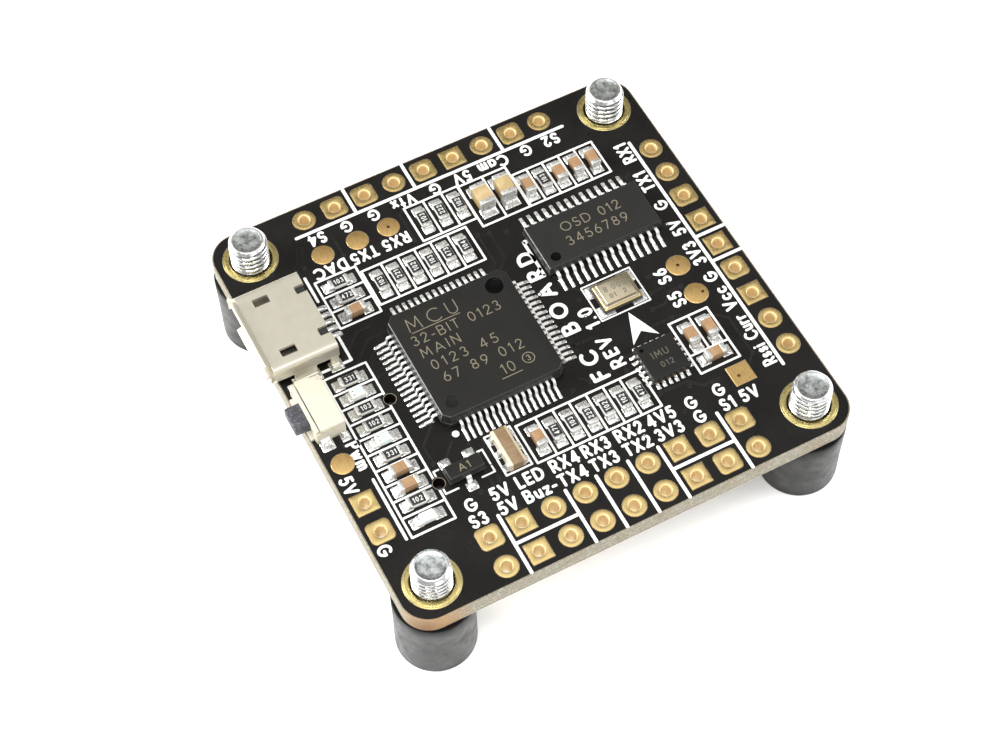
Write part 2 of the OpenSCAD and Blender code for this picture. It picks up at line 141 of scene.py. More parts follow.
def roundpoly(pts, rad, n=5):
    """Counter-clockwise polygon with its corners rounded."""
    out = []
    k = len(pts)
    rad = rad if isinstance(rad, (list, tuple)) else [rad] * k
    for i in range(k):
        p, a, b = Vector(pts[i]), Vector(pts[i - 1]), Vector(pts[(i + 1) % k])
        r = rad[i]
        if r <= 0:
            out += [tuple(p)] * (n + 1)
            continue
        u, w = (a - p).normalized(), (b - p).normalized()
        half = math.acos(max(-1, min(1, u.dot(w)))) / 2
        d = r / math.tan(half)
        s, e = p + u * d, p + w * d
        c = p + (u + w).normalized() * (r / math.sin(half))
        a0 = math.atan2(s.y - c.y, s.x - c.x)
        a1 = math.atan2(e.y - c.y, e.x - c.x)
        while a1 - a0 > math.pi: a1 -= 2 * math.pi
        while a1 - a0 < -math.pi: a1 += 2 * math.pi
        for j in range(n + 1):
            t = a0 + (a1 - a0) * j / n
            out.append((c.x + r * math.cos(t), c.y + r * math.sin(t)))
    return out


def rrect(x0, x1, y0, y1, r, n=5):
    return roundpoly([(x0, y0), (x1, y0), (x1, y1), (x0, y1)], r, n)


def inset(pts, d):
    """Moves a convex counter-clockwise outline inwards by d."""
    k = len(pts)
    out = []
    for i in range(k):
        p = Vector(pts[i])
        j = i - 1
        while (Vector(pts[j]) - p).length < 1e-7: j -= 1
        a = Vector(pts[j])
        j = (i + 1) % k
        while (Vector(pts[j]) - p).length < 1e-7: j = (j + 1) % k
        b = Vector(pts[j])
        n1 = Vector((-(p - a).y, (p - a).x)).normalized()
        n2 = Vector((-(b - p).y, (b - p).x)).normalized()
        n = (n1 + n2).normalized()
        out.append(tuple(p + n * (d / max(0.3, n.dot(n1)))))
    return out


def area(outer, holes=()):
    """Triangles of the union of the outer outlines less the holes: (points, triangles)."""
    vs, fs = [], []
    for poly in list(outer) + list(holes):
        q = []
        for p in poly:
            if not q or (Vector(p) - Vector(q[-1])).length > 1e-6:
                q.append(p)
        if (Vector(q[0]) - Vector(q[-1])).length <= 1e-6:
            q.pop()
        fs.append(list(range(len(vs), len(vs) + len(q))))
        vs += [Vector((p[0], p[1])) for p in q]
    v, e, f, ov, oe, of = delaunay_2d_cdt(vs, [], fs, 1, 1e-5, True)
    no = len(outer)
    keep = [t for t, o in zip(f, of) if any(i < no for i in o) and not any(i >= no for i in o)]
    return v, keep


def slab(outer, holes=(), z0=0, z1=1, m=0):
    v, tris = area(outer, holes)
    return _slab(v, tris, z0, z1, m)


def _slab(v, tris, z0, z1, m=0):
    used = sorted({i for t in tris for i in t})
    ix = {i: k for k, i in enumerate(used)}
    n = len(used)
    p = [(v[i][0], v[i][1]) for i in used]
    f, edges = [], {}
    for t in tris:
        t = [ix[i] for i in t]
        a = sum(p[t[i]][0] * p[t[(i + 1) % len(t)]][1] - p[t[(i + 1) % len(t)]][0] * p[t[i]][1] for i in range(len(t)))
        if a < 0:
            t = t[::-1]
        f.append(tuple(i + n for i in t))
        f.append(tuple(t[::-1]))
        for i in range(len(t)):
            edges[(t[i], t[(i + 1) % len(t)])] = 1
    for a, b in list(edges):
        if (b, a) not in edges:
            f.append((a, b, b + n, a + n))
    return G([(x, y, z0) for x, y in p] + [(x, y, z1) for x, y in p], f, [m] * len(f))


def capsule(a, b, r, n=8):
    a, b = Vector(a), Vector(b)
    d = b - a
    t = math.atan2(d.y, d.x) if d.length > 1e-9 else 0
    out = []
    for c, s in ((b, -math.pi / 2), (a, math.pi / 2)):
        for i in range(n + 1):
            w = t + s + math.pi * i / n
            out.append((c.x + r * math.cos(w), c.y + r * math.sin(w)))
    return out


def bar(a, b, r):
    a, b = Vector(a), Vector(b)
    d = (b - a).normalized() * r
    n = Vector((-d.y, d.x))
    return [tuple(a - d - n), tuple(b + d - n), tuple(b + d + n), tuple(a - d + n)]


def strokes(lines, r, z0, z1, m=0, square=False, n=8, holes=()):
    caps = []
    for l in lines:
        if len(l) == 1:
            caps.append(capsule(l[0], l[0], r, n))
        for a, b in zip(l, l[1:]):
            if (Vector(a) - Vector(b)).length > 1e-6:
                caps.append(bar(a, b, r) if square else capsule(a, b, r, n))
    return slab(caps, holes, z0, z1, m)


# ---------------------------------------------------------------- lettering: a plain stroke alphabet
def arc(cx, cy, rx, ry, a0, a1, n=9):
    return [(cx + rx * math.cos(math.radians(a0 + (a1 - a0) * i / n)), cy + ry * math.sin(math.radians(a0 + (a1 - a0) * i / n))) for i in range(n + 1)]


FONT = {
    'A': (.84, [[(0, 0), (.42, 1), (.84, 0)], [(.16, .3), (.68, .3)]]),
    'B': (.62, [[(0, 0), (0, 1), (.3, 1)] + arc(.32, .76, .23, .24, 90, -90) + [(0, .52)], [(.32, .52)] + arc(.34, .26, .28, .26, 90, -90) + [(0, 0)]]),
    'C': (.82, [arc(.5, .5, .5, .5, 48, 312, 16)]),
    'D': (.76, [[(0, 0), (0, 1), (.28, 1)] + arc(.28, .5, .48, .5, 90, -90, 12) + [(0, 0)]]),
    'E': (.5, [[(.5, 1), (0, 1), (0, 0), (.5, 0)], [(0, .52), (.45, .52)]]),
    'F': (.5, [[(.5, 1), (0, 1), (0, 0)], [(0, .5), (.44, .5)]]),
    'G': (.94, [arc(.47, .5, .47, .5, 50, 352, 18) + [(.93, .46), (.52, .46)]]),
    'H': (.66, [[(0, 0), (0, 1)], [(.66, 0), (.66, 1)], [(0, .5), (.66, .5)]]),
    'I': (0, [[(0, 0), (0, 1)]]),
    'K': (.6, [[(0, 0), (0, 1)], [(.56, 1), (0, .45)], [(.18, .6), (.6, 0)]]),
    'L': (.46, [[(0, 1), (0, 0), (.46, 0)]]),
    'M': (.9, [[(0, 0), (.1, 1), (.45, .25), (.8, 1), (.9, 0)]]),
    'N': (.68, [[(0, 0), (0, 1), (.68, 0), (.68, 1)]]),
    'O': (1, [arc(.5, .5, .5, .5, 0, 360, 22)]),
    'P': (.56, [[(0, 0), (0, 1), (.28, 1)] + arc(.29, .73, .27, .27, 90, -90) + [(0, .46)]]),
    'R': (.6, [[(0, 0), (0, 1), (.28, 1)] + arc(.29, .73, .27, .27, 90, -90) + [(0, .46)], [(.26, .46), (.6, 0)]]),
    'S': (.56, [arc(.28, .75, .25, .25, 35, 262, 10) + arc(.28, .26, .28, .26, 82, -150, 10)]),
    'T': (.58, [[(0, 1), (.58, 1)], [(.29, 1), (.29, 0)]]),
    'U': (.64, [[(0, 1), (0, .32)] + arc(.32, .32, .32, .32, 180, 360) + [(.64, 1)]]),
    'V': (.74, [[(0, 1), (.37, 0), (.74, 1)]]),
    'X': (.66, [[(0, 0), (.66, 1)], [(0, 1), (.66, 0)]]),
    'Y': (.66, [[(0, 1), (.33, .48), (.66, 1)], [(.33, .48), (.33, 0)]]),
    '0': (.56, [arc(.28, .5, .28, .5, 0, 360, 18)]),
    '1': (.24, [[(0, .8), (.2, 1), (.2, 0)]]),
    '2': (.56, [arc(.28, .72, .26, .28, 165, -25, 9) + [(0, 0), (.56, 0)]]),
    '3': (.54, [arc(.25, .76, .23, .24, 150, -80, 9) + arc(.25, .26, .28, .26, 80, -150, 10)]),
    '4': (.62, [[(.46, 0), (.46, 1), (0, .26), (.62, .26)]]),
    '5': (.54, [[(.5, 1), (.12, 1), (.05, .56)] + arc(.25, .31, .29, .31, 118, -145, 11)]),
    '6': (.56, [arc(.28, .3, .28, .3, 0, 360, 16), [(.04, .42), (.16, .72), (.4, 1)]]),
    '7': (.54, [[(0, 1), (.54, 1), (.16, 0)]]),
    '8': (.56, [arc(.28, .76, .23, .24, 0, 360, 14), arc(.28, .26, .28, .26, 0, 360, 14)]),
    '9': (.56, [arc(.28, .7, .28, .3, 0, 360, 16), [(.52, .58), (.4, .28), (.16, 0)]]),
    'a': (.56, [arc(.28, .3, .28, .3, 0, 360, 16), [(.56, .62), (.56, 0)]]),
    'c': (.5, [arc(.3, .3, .3, .3, 50, 310, 12)]),
    'i': (0, [[(0, 0), (0, .6)], [(0, .88)]]),
    'm': (.78, [[(0, 0), (0, .6)], arc(.2, .38, .19, .22, 180, 0, 6) + [(.39, 0)], arc(.58, .38, .19, .22, 180, 0, 6) + [(.77, 0)]]),
    'r': (.3, [[(0, 0), (0, .6)], arc(.24, .34, .23, .26, 180, 70, 6)]),
    's': (.36, [arc(.18, .45, .16, .16, 35, 262, 8) + arc(.18, .16, .18, .16, 82, -150, 8)]),
    't': (.3, [[(.15, .9), (.15, 0)], [(0, .62), (.3, .62)]]),
    'u': (.5, [[(0, .6), (0, .25)] + arc(.25, .25, .25, .25, 180, 360, 7) + [(.5, .6)], [(.5, .25), (.5, 0)]]),
    'w': (.76, [[(0, .6), (.18, 0), (.38, .55), (.58, 0), (.76, .6)]]),
    'x': (.44, [[(0, 0), (.44, .6)], [(0, .6), (.44, 0)]]),
    'z': (.44, [[(0, .6), (.44, .6), (0, 0), (.44, 0)]]),
    '-': (.3, [[(0, .38), (.3, .38)]]),
    '.': (0, [[(0, .02)]]),
    ' ': (.3, []),
}
_glyphs = {}


def text(s, x, y, h, rot, r, z0, z1, m=0, gap=.26, squeeze=1.0, n=8):
    """A line of lettering of capital height h centred at x, y, with strokes of half-width r."""
    parts, cur = [], 0
    gap = gap * h
    for ch in s:
        w, ls = FONT[ch]
        if ls:
            key = (ch, h, r, z0, z1, squeeze, n)
            if key not in _glyphs:
                hh = h - 2 * r
                _glyphs[key] = strokes([[(px * hh * squeeze, py * hh) for px, py in l] for l in ls], r, z0, z1, 0, n=n)
            parts.append(_glyphs[key].at(cur + r, -h / 2 + r))
        cur += w * (h - 2 * r) * squeeze + 2 * r + gap
    cur -= gap
    return total(p.at(-cur / 2).at(x, y, 0, rot).mat(m) for p in parts)


# ---------------------------------------------------------------- materials
def node(nt, kind, loc=(0, 0), **kw):
    n = nt.nodes.new(kind)
    n.location = loc
    for k, v in kw.items():
        setattr(n, k, v)
    return n


class M:
    """A material built from a Principled shader; helpers add noise-driven colour, roughness and bump."""

    def __init__(s, name, color, rough=.5, metal=0.0, spec=.5, coat=0.0, coat_rough=.1, ior=1.45, sub=0.0, trans=0.0, sheen=0.0):
        s.m = bpy.data.materials.new(name)
        s.m.use_nodes = True
        s.nt = s.m.node_tree
        s.b = s.nt.nodes["Principled BSDF"]
        i = s.b.inputs
        i["Base Color"].default_value = (*color, 1)
        i["Roughness"].default_value = rough
        i["Metallic"].default_value = metal
        i["Specular IOR Level"].default_value = spec
        i["IOR"].default_value = ior
        i["Coat Weight"].default_value = coat
        i["Coat Roughness"].default_value = coat_rough
        i["Subsurface Weight"].default_value = sub
        i["Subsurface Scale"].default_value = .0004
        i["Transmission Weight"].default_value = trans
        i["Sheen Weight"].default_value = sheen
        s.color, s.rough = color, rough
        s.tc = node(s.nt, "ShaderNodeTexCoord", (-1400, 0))
        s.col = None
        s.nrm = None
        s.y = 0

    def coords(s, scale=(1, 1, 1), rot=(0, 0, 0)):
        mp = node(s.nt, "ShaderNodeMapping", (-1200, s.y))
        mp.inputs["Scale"].default_value = scale
        mp.inputs["Rotation"].default_value = rot
        s.nt.links.new(s.tc.outputs["Object"], mp.inputs["Vector"])
        return mp.outputs["Vector"]

    def noise(s, mm, detail=3, rough=.5, stretch=(1, 1, 1), dist=0.0, lac=2.0):
        """Noise with features about mm across."""
        s.y -= 260
        n = node(s.nt, "ShaderNodeTexNoise", (-1000, s.y))
        n.inputs["Scale"].default_value = 1000.0 / mm
        n.inputs["Detail"].default_value = detail
        n.inputs["Roughness"].default_value = rough
        n.inputs["Distortion"].default_value = dist
        n.inputs["Lacunarity"].default_value = lac
        s.nt.links.new(s.coords(stretch), n.inputs["Vector"])
        return n.outputs["Fac"]

    def voronoi(s, mm, stretch=(1, 1, 1), feature='F1', out="Distance", rand=1.0):
        s.y -= 260
        n = node(s.nt, "ShaderNodeTexVoronoi", (-1000, s.y), feature=feature)
        n.inputs["Scale"].default_value = 1000.0 / mm
        n.inputs["Randomness"].default_value = rand
        s.nt.links.new(s.coords(stretch), n.inputs["Vector"])
        return n.outputs[out]

    def wave(s, mm, direction='X', dist=0.0, det=2, rot=(0, 0, 0), kind='BANDS', rings='Z'):
        s.y -= 260
        n = node(s.nt, "ShaderNodeTexWave", (-1000, s.y), wave_type=kind)
        if kind == 'BANDS':
            n.bands_direction = direction
        else:
            n.rings_direction = rings
        n.inputs["Scale"].default_value = 1000.0 / mm / 20 * math.pi
        n.inputs["Distortion"].default_value = dist
        n.inputs["Detail"].default_value = det
        s.nt.links.new(s.coords(rot=rot), n.inputs["Vector"])
        return n.outputs["Fac"]

    def near(s, p, r=2.6, soft=2.0):
        """1 at a point of the row frame, in millimetres, falling to 0 over the distance r."""
        s.y -= 260
        d = node(s.nt, "ShaderNodeVectorMath", (-1000, s.y), operation='DISTANCE')
        s.nt.links.new(s.tc.outputs["Object"], d.inputs[0])
        d.inputs[1].default_value = tuple(c * 1e-3 for c in p)
        return s.ramp(d.outputs["Value"], r * 1e-3, (r - soft) * 1e-3, 0, 1)

    def band(s, axis, x0, x1, a=0.0, b=1.0):
        """Position along an axis of the row frame, in millimetres, mapped from x0..x1 to a..b."""
        s.y -= 260
        sp = node(s.nt, "ShaderNodeSeparateXYZ", (-1000, s.y))
        s.nt.links.new(s.tc.outputs["Object"], sp.inputs[0])
        return s.ramp(sp.outputs[axis], x0 * 1e-3, x1 * 1e-3, a, b)

    def ramp(s, fac, lo, hi, a=0.0, b=1.0):
        """Maps fac from lo..hi to a..b, clamped."""
        r = node(s.nt, "ShaderNodeMapRange", (-760, s.y))
        r.inputs["From Min"].default_value, r.inputs["From Max"].default_value = lo, hi
        r.inputs["To Min"].default_value, r.inputs["To Max"].default_value = a, b
        s.nt.links.new(fac, r.inputs["Value"])
        return r.outputs["Result"]

    def tint(s, fac, color, lo=.35, hi=.65, amount=1.0):
        """Blends another colour in where fac is high."""
        mx = node(s.nt, "ShaderNodeMix", (-460, s.y), data_type='RGBA')
        f = s.ramp(fac, lo, hi, 0, amount)
        s.nt.links.new(f, mx.inputs["Factor"])
        if s.col is None:
            mx.inputs[6].default_value = (*s.color, 1)
        else:
            s.nt.links.new(s.col, mx.inputs[6])
        mx.inputs[7].default_value = (*color, 1)
        s.col = mx.outputs[2]
        s.nt.links.new(s.col, s.b.inputs["Base Color"])
        return s

    def rough_by(s, fac, a, b, lo=.3, hi=.7):
        s.nt.links.new(s.ramp(fac, lo, hi, a, b), s.b.inputs["Roughness"])
        return s

    def grazing_spec(s, a, b, lo=.4, hi=.74):
        """Mirror reflection that falls from a to b towards grazing angles."""
        s.y -= 260
        lw = node(s.nt, "ShaderNodeLayerWeight", (-1000, s.y))
        lw.inputs["Blend"].default_value = .5
        s.nt.links.new(s.ramp(lw.outputs["Facing"], lo, hi, a, b), s.b.inputs["Specular IOR Level"])
        return s

    def bump(s, fac, microns, strength=1.0):
        n = node(s.nt, "ShaderNodeBump", (-260, s.y))
        n.inputs["Distance"].default_value = microns * 1e-6
        n.inputs["Strength"].default_value = strength
        s.nt.links.new(fac, n.inputs["Height"])
        if s.nrm is not None:
            s.nt.links.new(s.nrm, n.inputs["Normal"])
        s.nrm = n.outputs["Normal"]
        s.nt.links.new(s.nrm, s.b.inputs["Normal"])
        return s


MATS = {}


def add_mat(key, m):
    MATS[key] = m.m
    return m


a = add_mat("soldermask", M("soldermask_black", (.0085, .008, .0072), .27, spec=.16))
a.tint(a.noise(3.0, 3), (.0125, .0118, .0105), .35, .7, .8)
a.rough_by(a.noise(.5, 4), .26, .42)
a.grazing_spec(.16, .004)
a.bump(a.noise(.12, 3, .6), 1.2).bump(a.noise(1.3, 2), 5)

a = add_mat("trace", M("soldermask_over_copper", (.0165, .0155, .014), .26, spec=.2))
a.tint(a.noise(.8, 3), (.011, .011, .011), .4, .7, .8)
a.rough_by(a.noise(.3, 3), .22, .36)
a.grazing_spec(.2, .006)
a.bump(a.noise(.1, 3), 1.2)

a = add_mat("fr4", M("fr4_edge", (.275, .255, .195), .62, spec=.3, sub=.15))
a.tint(a.wave(.22, 'Z', 1.2, 3), (.20, .18, .13), .45, .85, .45)
a.tint(a.noise(.13, 3, .7, (1, 1, .6)), (.46, .44, .37), .5, .66, .85)
a.tint(a.noise(2.6, 2), (.25, .16, .085), .52, .8, .6)
a.tint(a.noise(.17, 2, .6, (1, 1, .7)), (.12, .095, .065), .60, .72, .7)
a.tint(a.near((-16.2, -17.6, 7.5), 3.0, 2.2), (.36, .20, .075), .0, 1.0, .8)
a.tint(a.near((-16.9, -17.3, 7.2), 1.7, 1.6), (.15, .065, .018), .1, 1.0, .75)
a.tint(a.noise(.55, 4, .7, (.5, .5, 1)), (.14, .105, .07), .60, .70, .6)
a.bump(a.noise(.07, 3, .7), 9).bump(a.wave(.22, 'Z', 1.0, 3), 5)

a = add_mat("gold", M("immersion_gold", (.87, .655, .285), .26, 1))
a.tint(a.noise(.9, 3), (.84, .61, .25), .4, .75, .5)
a.tint(a.noise(.11, 2), (.93, .73, .37), .5, .8, .3)
a.rough_by(a.noise(.2, 4), .2, .33)
a.bump(a.noise(.05, 3, .6), .35).bump(a.noise(.5, 2), 1.2)

a = add_mat("bore", M("plated_bore_painted_glow", (.74, .595, .31), .5, .35, spec=.5))
a.tint(a.noise(.12, 3), (.60, .43, .20), .45, .7, .7)
# The bore glows faintly: painted light standing in for light bounced down into the hole.
a.b.inputs["Emission Color"].default_value = (.95, .62, .33, 1)
a.b.inputs["Emission Strength"].default_value = .08
a.rough_by(a.noise(.1, 3), .42, .6)
a.bump(a.noise(.07, 3), 3)

a = add_mat("gold_ring", M("immersion_gold_ring", (.635, .53, .22), .3, 1))
a.tint(a.noise(.9, 3), (.58, .465, .18), .4, .75, .6)
a.tint(a.noise(.14, 3), (.72, .62, .29), .5, .8, .3)
a.rough_by(a.noise(.3, 3), .22, .38)
a.bump(a.noise(.25, 3, .5), 1.2)

# A darker gold for the rounded outer rims of the pads: painted shade along the pad edges.
a = add_mat("gold_edge_shaded", M("immersion_gold_edge_painted_shade", (.46, .30, .105), .42, .9))
a.tint(a.noise(.15, 3), (.30, .18, .06), .45, .75, .6)

a = add_mat("gold_dull", M("immersion_gold_probe_pad", (.76, .51, .205), .34, 1))
a.tint(a.noise(.12, 3, .6, (1, .25, 1)), (.56, .36, .13), .42, .7, .75)
a.rough_by(a.noise(.1, 4), .28, .42)
a.bump(a.noise(.06, 3, .6, (1, .2, 1)), 1.0)

a = add_mat("silk", M("legend_ink_white", (.83, .83, .81), .55, spec=.35))
a.tint(a.noise(.12, 4), (.68, .68, .66), .5, .8, .5)
a.bump(a.noise(.06, 3), 3)

a = add_mat("solder", M("solder_bright", (.82, .82, .79), .2, .82))
a.tint(a.noise(.25, 3), (.46, .45, .42), .5, .7, .7)
# The near-black specks in the colour are painted dark reflections.
a.tint(a.noise(.13, 3, .6), (.12, .115, .10), .60, .70, .75)
a.rough_by(a.noise(.1, 4), .12, .38)
a.bump(a.noise(.09, 3, .6), 4.5).bump(a.noise(.3, 2), 16)

a = add_mat("tin", M("matte_tin_lead", (.90, .89, .86), .26, .5))
a.tint(a.noise(.15, 3), (.62, .615, .58), .5, .8, .6)
a.rough_by(a.noise(.08, 3), .16, .32)
a.bump(a.noise(.05, 3), 1.6)

a = add_mat("endcap", M("plated_end_cap", (.80, .79, .75), .3, .82))
a.tint(a.noise(.12, 4, .65), (.40, .39, .36), .5, .66, .75)
# The near-black specks in the colour are painted dark reflections.
a.tint(a.noise(.16, 3, .6), (.11, .10, .085), .585, .68, .8)
a.rough_by(a.noise(.09, 4), .22, .5)
a.bump(a.noise(.07, 4, .65), 5)

a = add_mat("epoxy", M("mould_compound_black", (.0135, .0131, .0115), .58, spec=.17))
a.tint(a.noise(.045, 2, .7), (.029, .028, .024), .52, .8, .7)
a.tint(a.noise(2.2, 2), (.011, .011, .0105), .45, .8, .6)
a.rough_by(a.noise(.05, 2), .5, .7)
a.bump(a.noise(.05, 3, .7), 5)

a = add_mat("epoxy_b", M("mould_compound_grey", (.0175, .0171, .0155), .58, spec=.18))
a.tint(a.noise(.045, 2, .7), (.037, .036, .032), .52, .8, .7)
a.tint(a.noise(2.2, 2), (.0145, .0145, .014), .45, .8, .6)
a.rough_by(a.noise(.05, 2), .5, .7)
a.bump(a.noise(.05, 3, .7), 5)

a = add_mat("epoxy_side", M("mould_compound_side", (.018, .018, .017), .28, spec=.55))
a.tint(a.noise(.06, 2), (.04, .039, .037), .5, .8, .6)
a.rough_by(a.noise(.06, 3), .22, .4)
a.bump(a.noise(.05, 3, .7), 2.5)

a = add_mat("laser_dim", M("laser_mark_faint", (.105, .097, .075), .8, spec=.12))
a.tint(a.noise(.08, 3, .7), (.06, .056, .045), .45, .7, .7)

a = add_mat("dimple", M("mould_mark_polished", (.003, .003, .003), .3, spec=.06))
a.rough_by(a.noise(.15, 3), .14, .3)
a.bump(a.noise(.2, 2), 1.5)

a = add_mat("dimple_dull", M("mould_mark_shallow", (.0085, .0083, .0075), .42, spec=.2))
a.tint(a.noise(.15, 3), (.016, .0155, .014), .45, .75, .5)
a.rough_by(a.noise(.12, 3), .34, .5)
a.bump(a.noise(.12, 3), 1.5)

# A much lighter mould compound for the left round-over of the packages: a painted highlight along that edge.
a = add_mat("epoxy_rim_highlight", M("mould_rim_painted_highlight", (.17, .168, .16), .2, spec=.9))
a.tint(a.noise(.35, 3), (.08, .078, .07), .5, .75, .6)
a.rough_by(a.noise(.15, 3), .14, .34)

a = add_mat("laser", M("laser_mark", (.215, .19, .135), .8, spec=.12))
a.tint(a.noise(.05, 3, .7), (.085, .07, .05), .45, .7, .8)
a.bump(a.noise(.03, 2), 4)

a = add_mat("nickel", M("satin_nickel_sheet", (.64, .60, .495), .36, .72, spec=.5))
a.tint(a.noise(2.2, 3), (.60, .56, .455), .4, .75, .5)
a.tint(a.noise(.05, 2, .7, (.15, 1, 1)), (.69, .655, .56), .5, .8, .25)
a.rough_by(a.noise(.5, 4, .6), .30, .38)
a.bump(a.noise(.04, 3, .7, (.2, 1, 1)), .5).bump(a.noise(2.4, 2), 1.2)

a = add_mat("zinc", M("bright_zinc_plate", (.93, .94, .94), .24, 1))
a.tint(a.noise(.5, 3), (.82, .83, .83), .5, .8, .6)
a.rough_by(a.noise(.3, 3), .2, .32)
a.bump(a.noise(.4, 2, .5), 1.2)

# A dark zinc for the thread roots: painted shade in the grooves.
a = add_mat("zinc_root_shade", M("thread_root_painted_shade", (.15, .16, .155), .4, .75))
a.tint(a.noise(.4, 3), (.26, .27, .265), .45, .75, .7)
a.bump(a.noise(.3, 3), 2)

a = add_mat("zinc_end", M("sheared_stud_end", (.60, .625, .61), .34, 1))
a.tint(a.noise(.5, 4, .65), (.20, .215, .205), .46, .62, .85)
a.tint(a.noise(.1, 3, .7), (.36, .38, .37), .5, .7, .5)
a.rough_by(a.noise(.2, 4), .24, .46)
a.bump(a.noise(.2, 4, .6), 7).bump(a.noise(.7, 2), 16)

a = add_mat("rubber", M("damper_rubber", (.018, .0175, .0165), .32, spec=.42, sheen=.02))
a.tint(a.noise(1.2, 4), (.034, .033, .031), .42, .72, .8)
a.tint(a.noise(.08, 3, .7), (.026, .026, .025), .52, .75, .6)
a.rough_by(a.noise(.7, 4), .28, .46)
a.bump(a.noise(.07, 3, .65), 4).bump(a.noise(.9, 3), 9)
# Darker towards the top and towards the foot: painted shade under the board and painted contact shadow at the foot.
a.tint(a.band("Z", 5.5, 6.9), (.003, .003, .003), .0, 1.0, .85)
a.tint(a.band("Z", 1.1, .1), (.006, .006, .006), .0, 1.0, .7)
# The specular level also falls towards the top and the foot, as painted shade, with a blotchy noise on it.
sheen = node(a.nt, "ShaderNodeMath", (-560, -1500), operation='MULTIPLY')
a.nt.links.new(a.band("Z", 6.75, 5.3, .04, .40), sheen.inputs[0])
a.nt.links.new(a.band("Z", .0, .9, .25, 1), sheen.inputs[1])
painted_shade_spec = node(a.nt, "ShaderNodeMath", (-460, -1500), operation='MULTIPLY')
a.nt.links.new(sheen.outputs[0], painted_shade_spec.inputs[0])
a.nt.links.new(a.ramp(a.noise(1.6, 3, .55), .35, .7, 1.15, .55), painted_shade_spec.inputs[1])
a.nt.links.new(painted_shade_spec.outputs[0], a.b.inputs["Specular IOR Level"])

a = add_mat("lcp", M("connector_plastic_black", (.02, .02, .021), .5, spec=.45))
a.tint(a.noise(.1, 3), (.035, .035, .035), .5, .75, .6)
a.bump(a.noise(.06, 3), 3)

a = add_mat("contact", M("contact_gold_plate", (.9, .7, .38), .22, 1))
a.tint(a.noise(.2, 3), (.78, .56, .27), .45, .75, .6)
a.bump(a.noise(.05, 3), 1)

a = add_mat("ivory", M("button_ivory_plastic", (.575, .54, .43), .42, spec=.4, sub=.2))
a.tint(a.noise(1.5, 3), (.63, .60, .50), .4, .75, .6)
a.rough_by(a.noise(.4, 3), .36, .52)
a.bump(a.noise(.06, 3), 2.2).bump(a.noise(.9, 2), 4)

a = add_mat("grey_plastic", M("button_tab_grey_plastic", (.05, .05, .058), .5, spec=.4))
a.tint(a.noise(.16, 4, .7), (.17, .17, .19), .5, .66, .85)
a.rough_by(a.noise(.2, 3), .38, .6)
a.bump(a.noise(.08, 4, .7), 10)

a = add_mat("spring", M("spring_steel", (.7, .69, .66), .25, 1))
a.tint(a.noise(.3, 3), (.58, .57, .54), .45, .75, .6)
a.bump(a.noise(.05, 3), 1)

a = add_mat("r_white", M("resistor_alumina", (.76, .75, .71), .5, spec=.45))
a.tint(a.noise(.1, 3), (.62, .61, .57), .5, .75, .6)
a.bump(a.noise(.05, 3), 2.5)

a = add_mat("r_black", M("resistor_overcoat", (.018, .018, .02), .3, spec=.5))
a.tint(a.noise(.12, 3), (.032, .032, .033), .5, .75, .6)
a.bump(a.noise(.07, 3), 2.5)

a = add_mat("r_mark", M("resistor_code_ink", (.68, .68, .64), .55, spec=.3))
a.tint(a.noise(.06, 3), (.45, .45, .42), .5, .75, .7)
a.bump(a.noise(.03, 2), 1)

a = add_mat("c_brown", M("capacitor_brown_ceramic", (.325, .195, .10), .36, spec=.5, sub=.1))
a.tint(a.noise(.09, 4, .65), (.24, .135, .068), .5, .75, .7)
a.tint(a.noise(.5, 2), (.40, .265, .15), .45, .75, .6)
a.rough_by(a.noise(.15, 3), .28, .46)
a.bump(a.noise(.07, 4, .65), 4)

a = add_mat("c_tan", M("capacitor_tan_ceramic", (.42, .31, .15), .34, spec=.5, sub=.1))
a.tint(a.noise(.1, 4, .65), (.35, .25, .11), .5, .75, .7)
a.tint(a.noise(.6, 2), (.6, .47, .27), .45, .75, .6)
a.rough_by(a.noise(.2, 3), .26, .44)
a.bump(a.noise(.08, 4, .65), 4)

a = add_mat("xtal_lid", M("crystal_lid_kovar", (.51, .445, .315), .36, 1))
a.tint(a.noise(.4, 3), (.45, .39, .27), .45, .75, .6)
a.rough_by(a.noise(.15, 3), .30, .42)
a.bump(a.noise(.06, 3, .7, (1, .25, 1)), 1.5)

a = add_mat("xtal_rim", M("crystal_gold_rim", (.86, .66, .26), .24, 1))
a.tint(a.noise(.2, 3), (.7, .5, .16), .45, .75, .6)
a.bump(a.noise(.06, 3), 2)

a = add_mat("xtal_mark", M("crystal_laser_mark", (.13, .115, .09), .7, spec=.2))
a.tint(a.noise(.05, 3), (.22, .2, .16), .45, .75, .7)
a.bump(a.noise(.03, 2), 2)

a = add_mat("alumina", M("dark_alumina", (.05, .045, .04), .5, spec=.4))
a.tint(a.noise(.1, 3), (.08, .07, .06), .45, .75, .7)
a.bump(a.noise(.06, 3), 3)

a = add_mat("res_ceramic", M("resonator_ceramic", (.205, .13, .066), .26, spec=.5, sub=.1))
a.tint(a.noise(.25, 3, .6, (.35, 1, 1)), (.29, .215, .13), .4, .7, .7)
# A cream strip along the left edge and a lighter strip along the right edge: painted highlights.
a.tint(a.band("X", -6.16, -6.22), (.66, .60, .47), 0, 1, .9)
a.tint(a.band("X", -5.36, -5.30), (.50, .43, .31), 0, 1, .8)
a.tint(a.noise(.1, 3), (.17, .11, .055), .58, .75, .6)
a.rough_by(a.noise(.2, 3), .28, .44)
a.bump(a.noise(.08, 3), 3)

a = add_mat("led_body", M("led_carrier_white", (.80, .80, .75), .5, spec=.45, sub=.15))
a.tint(a.noise(.12, 3), (.68, .69, .63), .5, .75, .6)
a.bump(a.noise(.06, 3), 3)

